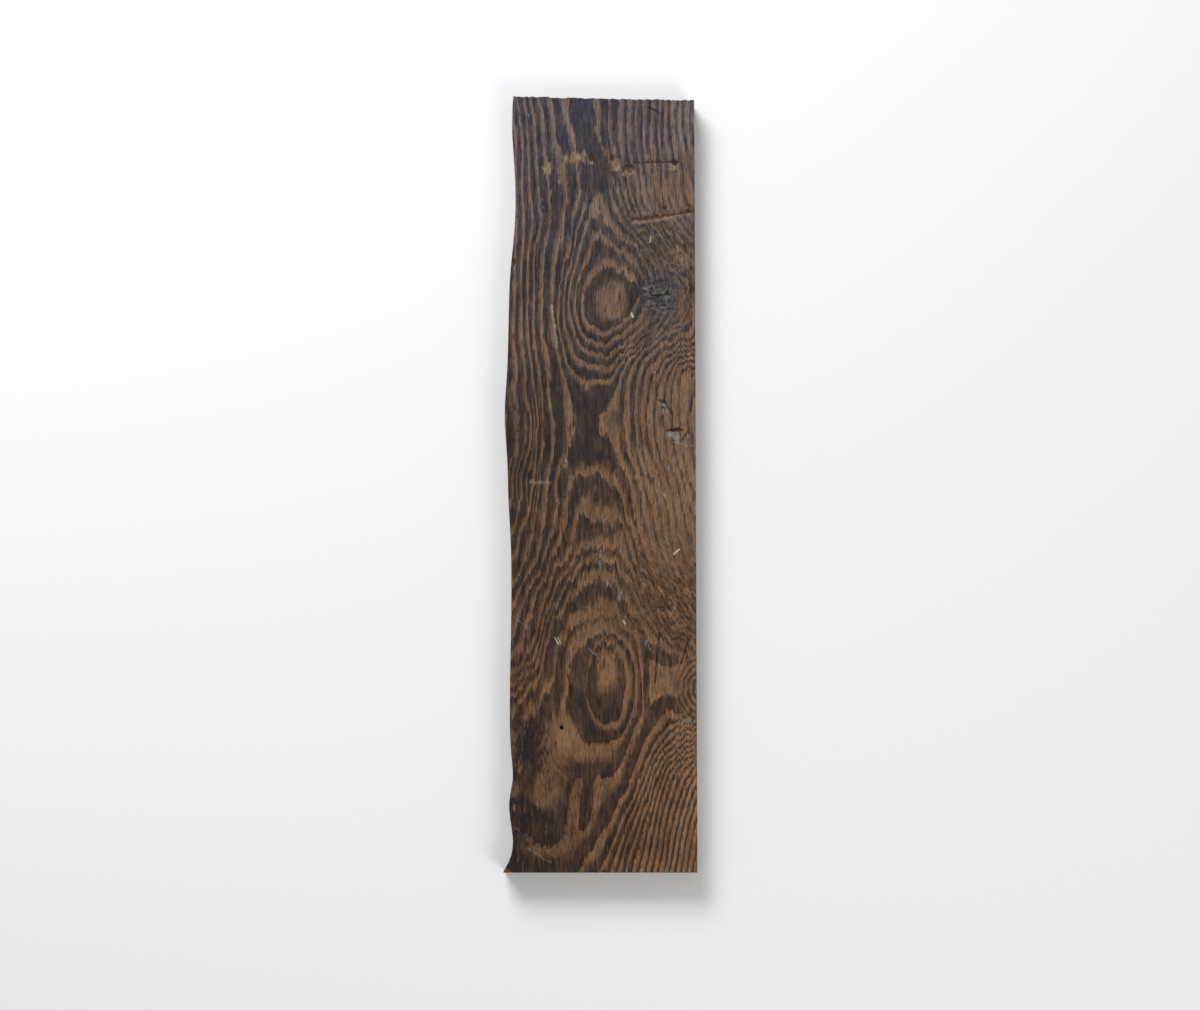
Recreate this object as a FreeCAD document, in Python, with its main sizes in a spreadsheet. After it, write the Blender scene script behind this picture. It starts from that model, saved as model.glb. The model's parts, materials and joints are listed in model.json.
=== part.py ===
"""Wide plank floorboard: one sawn softwood board with a worn, wavy long edge, scars and an old nail hole.

Frame, in millimetres: X across the board, Y along it, Z up out of the worn face.
The origin is at the middle of the underside.
"""
import FreeCAD, Part
import os

import Sketcher

Vector = FreeCAD.Vector
ORIGIN = (-1, 1)

# Driving dimensions, in millimetres and degrees.
SIZES = {
    "board_length": 814,        # the longer, left side
    "board_width": 200,         # at the widest place
    "board_thick": 25,
    "end_skew": 4,              # how much shorter the right side is at the upper end
    "worn_arris": 2.5,          # rounding of the wavy edge under years of feet
    "sawn_arris": 1.2,          # rounding of the straight edge
    "wane_allowance": 6,        # how much wider the blank is than the board, all of it lost to the wave
    "cut_overrun": 12,          # how far the wave is drawn past both ends and the blank
    "lower_flare": -8,          # depth of the wave's first control point, beyond the lower end
    "upper_run_out": 9,         # depth of its last one, beyond the upper end
    "nail_bore": 4,
    "nail_from_end": 147.5,     # from the lower end
    "nail_from_edge": 139.5,    # from the straight edge
    "cross_scar_length": 72,    # the scar that runs square across the grain
    "cross_scar_width": 5,
    "cross_scar_depth": 1.2,
    "cross_scar_from_top": 71,
    "cross_scar_from_edge": 52,
    "cross_scar_turn": 1.5,
    "slant_scar_length": 72,    # the scar that runs out over the straight edge
    "slant_scar_width": 4,
    "slant_scar_depth": 1.4,
    "slant_scar_from_top": 128,
    "slant_scar_from_edge": 30,
    "slant_scar_turn": 6.5,
}

# The wave of the worn edge: the control points of its curve from the lower end to the upper, each as the step
# along the board from the point before (the first from the lower end) and the depth in from the widest place.
WAVE = [
    (4, 4), (18, 11.5), (20, 10), (30, 4), (24, 12.5), (28, 6.5), (76, 6.5), (50, 8), (90, 8),
    (45, 3.5), (40, 4), (50, -1.8), (45, 4), (105, 3.5), (40, 11), (73, 11), (47, 4.5),
]
CURVE_DEGREE = 3
LEVEL = 0.001                   # how flat an edge of the worn face lies


def make_sheet(doc):
    """The spreadsheet of driving dimensions, one named cell each."""
    sheet = doc.addObject("Spreadsheet::Sheet", "Sizes")
    cells = dict(SIZES)
    for number, (step, depth) in enumerate(WAVE, start=1):
        cells[f"wave_{number}_step"] = step
        cells[f"wave_{number}_depth"] = depth
    for row, (name, value) in enumerate(cells.items(), start=1):
        sheet.set(f"A{row}", name)
        sheet.set(f"B{row}", str(value))
        sheet.setAlias(f"B{row}", name)
    doc.recompute()
    return sheet


def new_sketch(body, name, role="XY_Plane"):
    """A sketch on one of the body's own planes, the underside unless said otherwise."""
    sketch = body.newObject("Sketcher::SketchObject", name)
    plane = next(item for item in body.Origin.OriginFeatures if item.Role == role)
    sketch.AttachmentSupport = (plane, [""])
    sketch.MapMode = "FlatFace"
    return sketch


def start_of(curve):
    """The point that names a curve's start, or a point itself, in a sketch."""
    return curve, 1


def end_of(curve):
    return curve, 2


def centre_of(circle):
    return circle, 3


def distance(sketch, kind, first, second, name, formula):
    """A named DistanceX or DistanceY from one point to another, held to a formula of the sheet's cells."""
    start = sketch.getPoint(*first)
    end = sketch.getPoint(*second)
    step = end - start
    now = step.x if kind == "DistanceX" else step.y
    index = sketch.addConstraint(Sketcher.Constraint(kind, *first, *second, now))
    sketch.renameConstraint(index, name)
    sketch.setExpression(f"Constraints.{name}", formula)


def coincide(sketch, first, second):
    sketch.addConstraint(Sketcher.Constraint("Coincident", *first, *second))


def centre_line(sketch, point):
    """Holds a point on the sketch's vertical axis."""
    sketch.addConstraint(Sketcher.Constraint("PointOnObject", *point, -2))


def draw_loop(sketch, corners):
    """Straight lines from corner to corner, closed."""
    count = len(corners)
    for index in range(count):
        sketch.addGeometry(Part.LineSegment(corners[index], corners[(index + 1) % count]))
    for index in range(count):
        coincide(sketch, end_of(index), start_of((index + 1) % count))


def blank(body):
    """The sawn board before wear: square but for the upper end, which was cut a little askew."""
    sketch = new_sketch(body, "BlankOutline")
    right_side = SIZES["board_width"] / 2
    left_side = -right_side - SIZES["wane_allowance"]
    half_length = SIZES["board_length"] / 2
    corners = [
        Vector(left_side, -half_length, 0),
        Vector(right_side, -half_length, 0),
        Vector(right_side, half_length - SIZES["end_skew"], 0),
        Vector(left_side, half_length, 0),
    ]
    draw_loop(sketch, corners)
    lower, right, upper, left = range(4)
    sketch.addConstraint(Sketcher.Constraint("Horizontal", lower))
    sketch.addConstraint(Sketcher.Constraint("Vertical", right))
    sketch.addConstraint(Sketcher.Constraint("Vertical", left))
    distance(sketch, "DistanceX", ORIGIN, end_of(lower), "to_right", "Sizes.board_width / 2")
    distance(sketch, "DistanceY", start_of(lower), ORIGIN, "to_lower", "Sizes.board_length / 2")
    distance(sketch, "DistanceX", start_of(lower), end_of(lower), "across",
             "Sizes.board_width + Sizes.wane_allowance")
    distance(sketch, "DistanceY", end_of(left), start_of(left), "long_side",
             "Sizes.board_length + Sizes.end_skew * Sizes.wane_allowance / Sizes.board_width")
    distance(sketch, "DistanceY", start_of(right), end_of(right), "short_side",
             "Sizes.board_length - Sizes.end_skew")
    pad = body.newObject("PartDesign::Pad", "Blank")
    pad.Profile = sketch
    pad.setExpression("Length", "Sizes.board_thick")
    return pad


def wavy_edge(body):
    """Takes away what wear and wane took from the left edge: one smooth curve, cut square to the face."""
    sketch = new_sketch(body, "EdgeWave")
    corner = Vector(-SIZES["board_width"] / 2, -SIZES["board_length"] / 2, 0)
    overrun = SIZES["cut_overrun"]
    points = [corner + Vector(SIZES["lower_flare"], -overrun, 0)]
    along = 0
    for step, depth in WAVE:
        along += step
        points.append(corner + Vector(depth, along, 0))
    points.append(corner + Vector(SIZES["upper_run_out"], SIZES["board_length"] + overrun, 0))
    outside = corner.x - SIZES["wane_allowance"] - overrun
    upper_corner = Vector(outside, points[-1].y, 0)
    lower_corner = Vector(outside, points[0].y, 0)

    curve = Part.BSplineCurve()
    curve.buildFromPoles(points, False, CURVE_DEGREE)
    wave = sketch.addGeometry(curve)
    upper = sketch.addGeometry(Part.LineSegment(points[-1], upper_corner))
    outer = sketch.addGeometry(Part.LineSegment(upper_corner, lower_corner))
    lower = sketch.addGeometry(Part.LineSegment(lower_corner, points[0]))
    datum = start_of(sketch.addGeometry(Part.Point(corner), True))
    first_pole = sketch.GeometryCount
    sketch.exposeInternalGeometry(wave)

    coincide(sketch, end_of(wave), start_of(upper))
    coincide(sketch, end_of(upper), start_of(outer))
    coincide(sketch, end_of(outer), start_of(lower))
    coincide(sketch, end_of(lower), start_of(wave))
    sketch.addConstraint(Sketcher.Constraint("Horizontal", upper))
    sketch.addConstraint(Sketcher.Constraint("Vertical", outer))
    sketch.addConstraint(Sketcher.Constraint("Horizontal", lower))
    distance(sketch, "DistanceX", datum, ORIGIN, "datum_x", "Sizes.board_width / 2")
    distance(sketch, "DistanceY", datum, ORIGIN, "datum_y", "Sizes.board_length / 2")
    distance(sketch, "DistanceX", start_of(outer), datum, "outside",
             "Sizes.wane_allowance + Sizes.cut_overrun")

    # Each control point is held from the one before it; the two beyond the ends follow the board's ends.
    poles = [centre_of(first_pole + index) for index in range(len(points))]
    distance(sketch, "DistanceX", datum, poles[0], "lower_depth", "Sizes.lower_flare")
    distance(sketch, "DistanceY", poles[0], datum, "lower_overrun", "Sizes.cut_overrun")
    before = datum
    for number in range(1, len(WAVE) + 1):
        pole = poles[number]
        distance(sketch, "DistanceX", datum, pole, f"depth_{number}", f"Sizes.wave_{number}_depth")
        distance(sketch, "DistanceY", before, pole, f"step_{number}", f"Sizes.wave_{number}_step")
        before = pole
    wave_length = " + ".join(f"Sizes.wave_{number}_step" for number in range(1, len(WAVE) + 1))
    distance(sketch, "DistanceX", datum, poles[-1], "upper_depth", "Sizes.upper_run_out")
    distance(sketch, "DistanceY", datum, poles[-1], "upper_overrun",
             f"max(Sizes.board_length; {wave_length}) + Sizes.cut_overrun")
    return cut_through(body, sketch, "WavyEdge")


def cut_through(body, sketch, name):
    """Cuts a sketch of the underside up through the whole board."""
    pocket = body.newObject("PartDesign::Pocket", name)
    pocket.Profile = sketch
    pocket.setExpression("Length", "Sizes.board_thick")
    pocket.Reversed = True
    return pocket


def upper_edges(shape, on_left):
    """Names of the edges where the worn face meets the wavy left edge or the straight right edge."""
    top = shape.BoundBox.ZMax
    names = []
    for index, edge in enumerate(shape.Edges, start=1):
        box = edge.BoundBox
        level = abs(box.ZMin - top) < LEVEL and abs(box.ZMax - top) < LEVEL
        lengthwise = box.YLength > box.XLength
        if level and lengthwise and (box.Center.x < 0) == on_left:
            names.append(f"Edge{index}")
    return names


def round_over(doc, body, name, on_left, radius):
    """Rounds one long arris of the worn face."""
    doc.recompute()
    base = body.Tip
    fillet = body.newObject("PartDesign::Fillet", name)
    fillet.Base = (base, upper_edges(base.Shape, on_left))
    fillet.setExpression("Radius", f"Sizes.{radius}")
    return fillet


def scar(body, name, cell):
    """A scar in the worn face: a V in section, deepest at its middle and pointed at both ends.

    It is the cut of a large sharp-rimmed disc, whose radius follows from the scar's length and depth.
    """
    width = SIZES[f"{cell}_width"]
    depth = SIZES[f"{cell}_depth"]
    half_length = SIZES[f"{cell}_length"] / 2
    hub = (half_length**2 - depth**2) / (2 * depth)

    sketch = new_sketch(body, f"{name}Section", "YZ_Plane")
    sketch.AttachmentOffset = FreeCAD.Placement(
        Vector(), FreeCAD.Rotation(Vector(0, 1, 0), SIZES[f"{cell}_turn"])
    )
    sketch.setExpression("AttachmentOffset.Base.x", f"Sizes.board_length / 2 - Sizes.{cell}_from_top")
    sketch.setExpression("AttachmentOffset.Base.y", "Sizes.board_thick")
    sketch.setExpression("AttachmentOffset.Base.z", f"Sizes.board_width / 2 - Sizes.{cell}_from_edge")
    sketch.setExpression("AttachmentOffset.Rotation.Angle", f"Sizes.{cell}_turn * 1 deg")

    # The V runs on to twice its height, clear of the face, so its width at the face is the scar's own.
    draw_loop(sketch, [Vector(0, -depth, 0), Vector(width, depth, 0), Vector(-width, depth, 0)])
    tip, right, left = start_of(0), start_of(1), start_of(2)
    distance(sketch, "DistanceX", ORIGIN, right, "right_x", f"Sizes.{cell}_width")
    distance(sketch, "DistanceY", ORIGIN, right, "right_y", f"Sizes.{cell}_depth")
    distance(sketch, "DistanceX", left, ORIGIN, "left_x", f"Sizes.{cell}_width")
    distance(sketch, "DistanceY", ORIGIN, left, "left_y", f"Sizes.{cell}_depth")
    distance(sketch, "DistanceY", tip, ORIGIN, "tip_y", f"Sizes.{cell}_depth")
    centre_line(sketch, tip)
    axis = sketch.addGeometry(Part.LineSegment(Vector(0, hub, 0), Vector(width, hub, 0)), True)
    sketch.addConstraint(Sketcher.Constraint("Horizontal", axis))
    centre_line(sketch, start_of(axis))
    distance(sketch, "DistanceX", start_of(axis), end_of(axis), "axis_length", f"Sizes.{cell}_width")
    distance(sketch, "DistanceY", ORIGIN, start_of(axis), "hub_height",
             f"((Sizes.{cell}_length / 2)^2 - Sizes.{cell}_depth^2) / (2 * Sizes.{cell}_depth)")

    groove = body.newObject("PartDesign::Groove", name)
    groove.Profile = sketch
    groove.ReferenceAxis = (sketch, ["Axis0"])
    groove.Angle = 180  # the lower half of the disc
    groove.Midplane = True
    return groove


def nail_hole(body):
    """The hole that a floor nail left, right through the board."""
    sketch = new_sketch(body, "NailOutline")
    centre = Vector(
        SIZES["board_width"] / 2 - SIZES["nail_from_edge"],
        SIZES["nail_from_end"] - SIZES["board_length"] / 2,
        0,
    )
    circle = sketch.addGeometry(Part.Circle(centre, Vector(0, 0, 1), SIZES["nail_bore"] / 2))
    index = sketch.addConstraint(Sketcher.Constraint("Diameter", circle, SIZES["nail_bore"]))
    sketch.renameConstraint(index, "bore")
    sketch.setExpression("Constraints.bore", "Sizes.nail_bore")
    distance(sketch, "DistanceX", ORIGIN, centre_of(circle), "across",
             "Sizes.board_width / 2 - Sizes.nail_from_edge")
    distance(sketch, "DistanceY", ORIGIN, centre_of(circle), "along",
             "Sizes.nail_from_end - Sizes.board_length / 2")
    return cut_through(body, sketch, "NailHole")


def floorboard(doc):
    """The whole board, in the order in which it came to be: sawn, worn, scarred, nailed."""
    body = doc.addObject("PartDesign::Body", "Floorboard")
    body.Label = "floorboard"
    blank(body)
    wavy_edge(body)
    round_over(doc, body, "WornArris", True, "worn_arris")
    round_over(doc, body, "SawnArris", False, "sawn_arris")
    scar(body, "CrossScar", "cross_scar")
    scar(body, "SlantScar", "slant_scar")
    nail_hole(body)
    doc.recompute()
    return body


def check(doc, body):
    """Stops if a feature failed, changed nothing or left a shape that isn't one sound solid."""
    for item in doc.Objects:
        if "Invalid" in item.State or "Error" in item.State:
            raise RuntimeError(f"{item.Name} failed: {item.State}")
    before = None
    for feature in body.Group:
        if not feature.isDerivedFrom("PartDesign::Feature"):
            continue
        if before and feature.Shape.Volume >= before.Volume and len(feature.Shape.Faces) == len(before.Faces):
            raise RuntimeError(f"{feature.Name} took nothing away")
        before = feature.Shape
    if body.Shape.isNull() or not body.Shape.isValid() or len(body.Shape.Solids) != 1:
        raise RuntimeError(f"{body.Label} is not one sound solid")


def main():
    doc = FreeCAD.newDocument("WidePlankFloorboard")
    make_sheet(doc)
    body = floorboard(doc)
    check(doc, body)
    os.makedirs("parts", exist_ok=True)
    body.Shape.exportStep(f"parts/{body.Label}.step")
    box = body.Shape.optimalBoundingBox()
    print(f"{body.Label}: {box.XLength:.2f} x {box.YLength:.2f} x {box.ZLength:.2f} mm,"
          f" {body.Shape.Volume / 1e6:.4f} litres, {len(body.Shape.Faces)} faces")


main()
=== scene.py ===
"""Wide plank floorboard: one worn softwood board, dressed over its CAD solid."""

import json
import math

import bpy
import numpy as np
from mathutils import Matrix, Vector
from mathutils.bvhtree import BVHTree
from mathutils.geometry import tessellate_polygon


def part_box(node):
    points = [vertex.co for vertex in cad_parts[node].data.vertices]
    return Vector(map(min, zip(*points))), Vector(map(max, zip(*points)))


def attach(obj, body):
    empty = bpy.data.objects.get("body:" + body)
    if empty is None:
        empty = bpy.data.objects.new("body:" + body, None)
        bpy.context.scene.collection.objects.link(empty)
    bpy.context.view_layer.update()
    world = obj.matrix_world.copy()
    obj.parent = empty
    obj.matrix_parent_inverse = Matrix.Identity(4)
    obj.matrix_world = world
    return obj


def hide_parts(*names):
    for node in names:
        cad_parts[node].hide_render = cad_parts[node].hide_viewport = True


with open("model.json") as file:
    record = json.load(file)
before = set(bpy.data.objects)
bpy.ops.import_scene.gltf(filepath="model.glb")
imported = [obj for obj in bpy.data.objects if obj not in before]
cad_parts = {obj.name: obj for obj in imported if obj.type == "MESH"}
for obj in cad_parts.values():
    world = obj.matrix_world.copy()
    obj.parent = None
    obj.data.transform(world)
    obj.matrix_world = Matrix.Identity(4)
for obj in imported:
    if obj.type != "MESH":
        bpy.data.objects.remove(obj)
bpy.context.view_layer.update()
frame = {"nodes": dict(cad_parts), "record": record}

# The board's own measures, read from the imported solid, in millimetres
MM = 0.001
SOLID = frame["nodes"]["floorboard"]
LOW, HIGH = (np.array(corner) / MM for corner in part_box("floorboard"))
TOP = HIGH[2]
MID_HEIGHT = TOP / 2

# The mesh: cells across and along the worn face and the small cells at their ends, steps down the sides,
# and depths down the nail hole; the back has half as many cells each way
CELLS_ACROSS = 150
CELLS_ALONG = 400
FIRST_ACROSS = (0.04, 0.12, 0.25, 0.45, 0.7, 0.9)
FIRST_ALONG = (0.12, 0.2, 0.4, 0.7)
WALL_STEPS = (0.0, 0.1, 0.3, 0.52, 0.74, 0.91, 0.975, 1.0)
HOLE_DEPTHS = (1.6, 4.6, 10.6, 18.6)
HOLE_CELLS = 2

# Feeling out the solid, in millimetres: room left at the ends and at each long edge, the steps and the
# slack that find a rounded arris, and the length at the upper end that holds the scars
END_ROOM = 0.05
WAVE_ROOM = 12.0
ARRIS_ROOM = 1.0
ARRIS_STEP = 0.05
ARRIS_SLACK = 0.03
SCARRED_LENGTH = 160.0

# Wear, in millimetres: what is worn off, how far in from the rim the relief and the dents come in, how far
# the upper end is torn, and the depths at which the marks of feet have gone and are whole
SOFT_WOOD_WORN = 0.65
RIPPLE_DEPTH = 0.35
FIBRE_DEPTH = 0.16
RIM_CALM = 4.0
DENT_CALM = 1.5
END_ARRIS = 0.9
BACK_ARRIS = 0.5
BACK_HOLLOW = 0.2
TORN_END = 1.3
TORN_REACH = 7.0
EDGE_RIPPLE = 0.25
WEAR_DEPTH = (8.0, 1.0)

# Unevenness: cells across and along in millimetres, and the seed of the noise; then the size of the noise's
# table and where on it the board's middle lies
LINE_FRAY = (4.0, 46.0, 3)
LINE_WAVER = (16.0, 30.0, 5)
SHARE_WAVER = (9.0, 34.0, 6)
SPLIT_WAVER = (13.0, 42.0, 9)
TREAD = (30.0, 90.0, 11)
RIPPLES = (2.2, 9.0, 12)
FIBRES = (1.6, 22.0, 13)
RAGGED_DENTS = (2.5, 5.0, 14)
UNEVEN_ARRIS = (40.0, 12.0, 15)
TORN_FIBRES = (2.6, 1.0, 16)
BACK_HOLLOWS = (60.0, 40.0, 21)
SIDE_RIPPLES = (7.0, 5.0, 31)
NOISE_TABLE = 512
NOISE_START = 200.0

# The tree, in millimetres: how far its heart lies below the worn face, and the width of a year's growth
HEART_DEPTH = 70.0
YEAR_WIDTH = 7.0

# The thin plate that is bent through the growth lines: how short it is beside the board, how loosely it
# follows the lines, and how many places are worked out at once; and numbers that stand for next to nothing
SQUASH = 0.5
LINE_SLACK = 2.0
PLACES_AT_ONCE = 15000
NEVER_ZERO = 1e-9
TOUCHING = 1e-6

# How the growth lines stray from their years: room beside the board in millimetres, the step that finds how
# they slope and the steepest slope, the length of the fraying, years of fraying and wavering, and the share
# of dark wood
FIGURE_MARGIN = 6.0
SLOPE_STEP = 2.0
STEEPEST = 0.2
FRAY_LENGTH = 6.0
FRAY_YEARS = 0.2
WAVER_YEARS = 0.38
SHARE_UNEVEN = 0.22
SHARE_LIMITS = (0.08, 1.15)
SPLIT_EDGE = (0.4, 0.56)
HARD_EDGE = (0.2, 0.8)

# The nail hole, as in the solid
NAIL_HOLE = next(m for m in frame["record"]["mounts"] if m["name"] == "nail_hole")
NAIL_PLACE = np.array(NAIL_HOLE["pos_m"][:2]) / MM
NAIL_RADIUS = NAIL_HOLE["dims"]["r_mm"]

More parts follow.
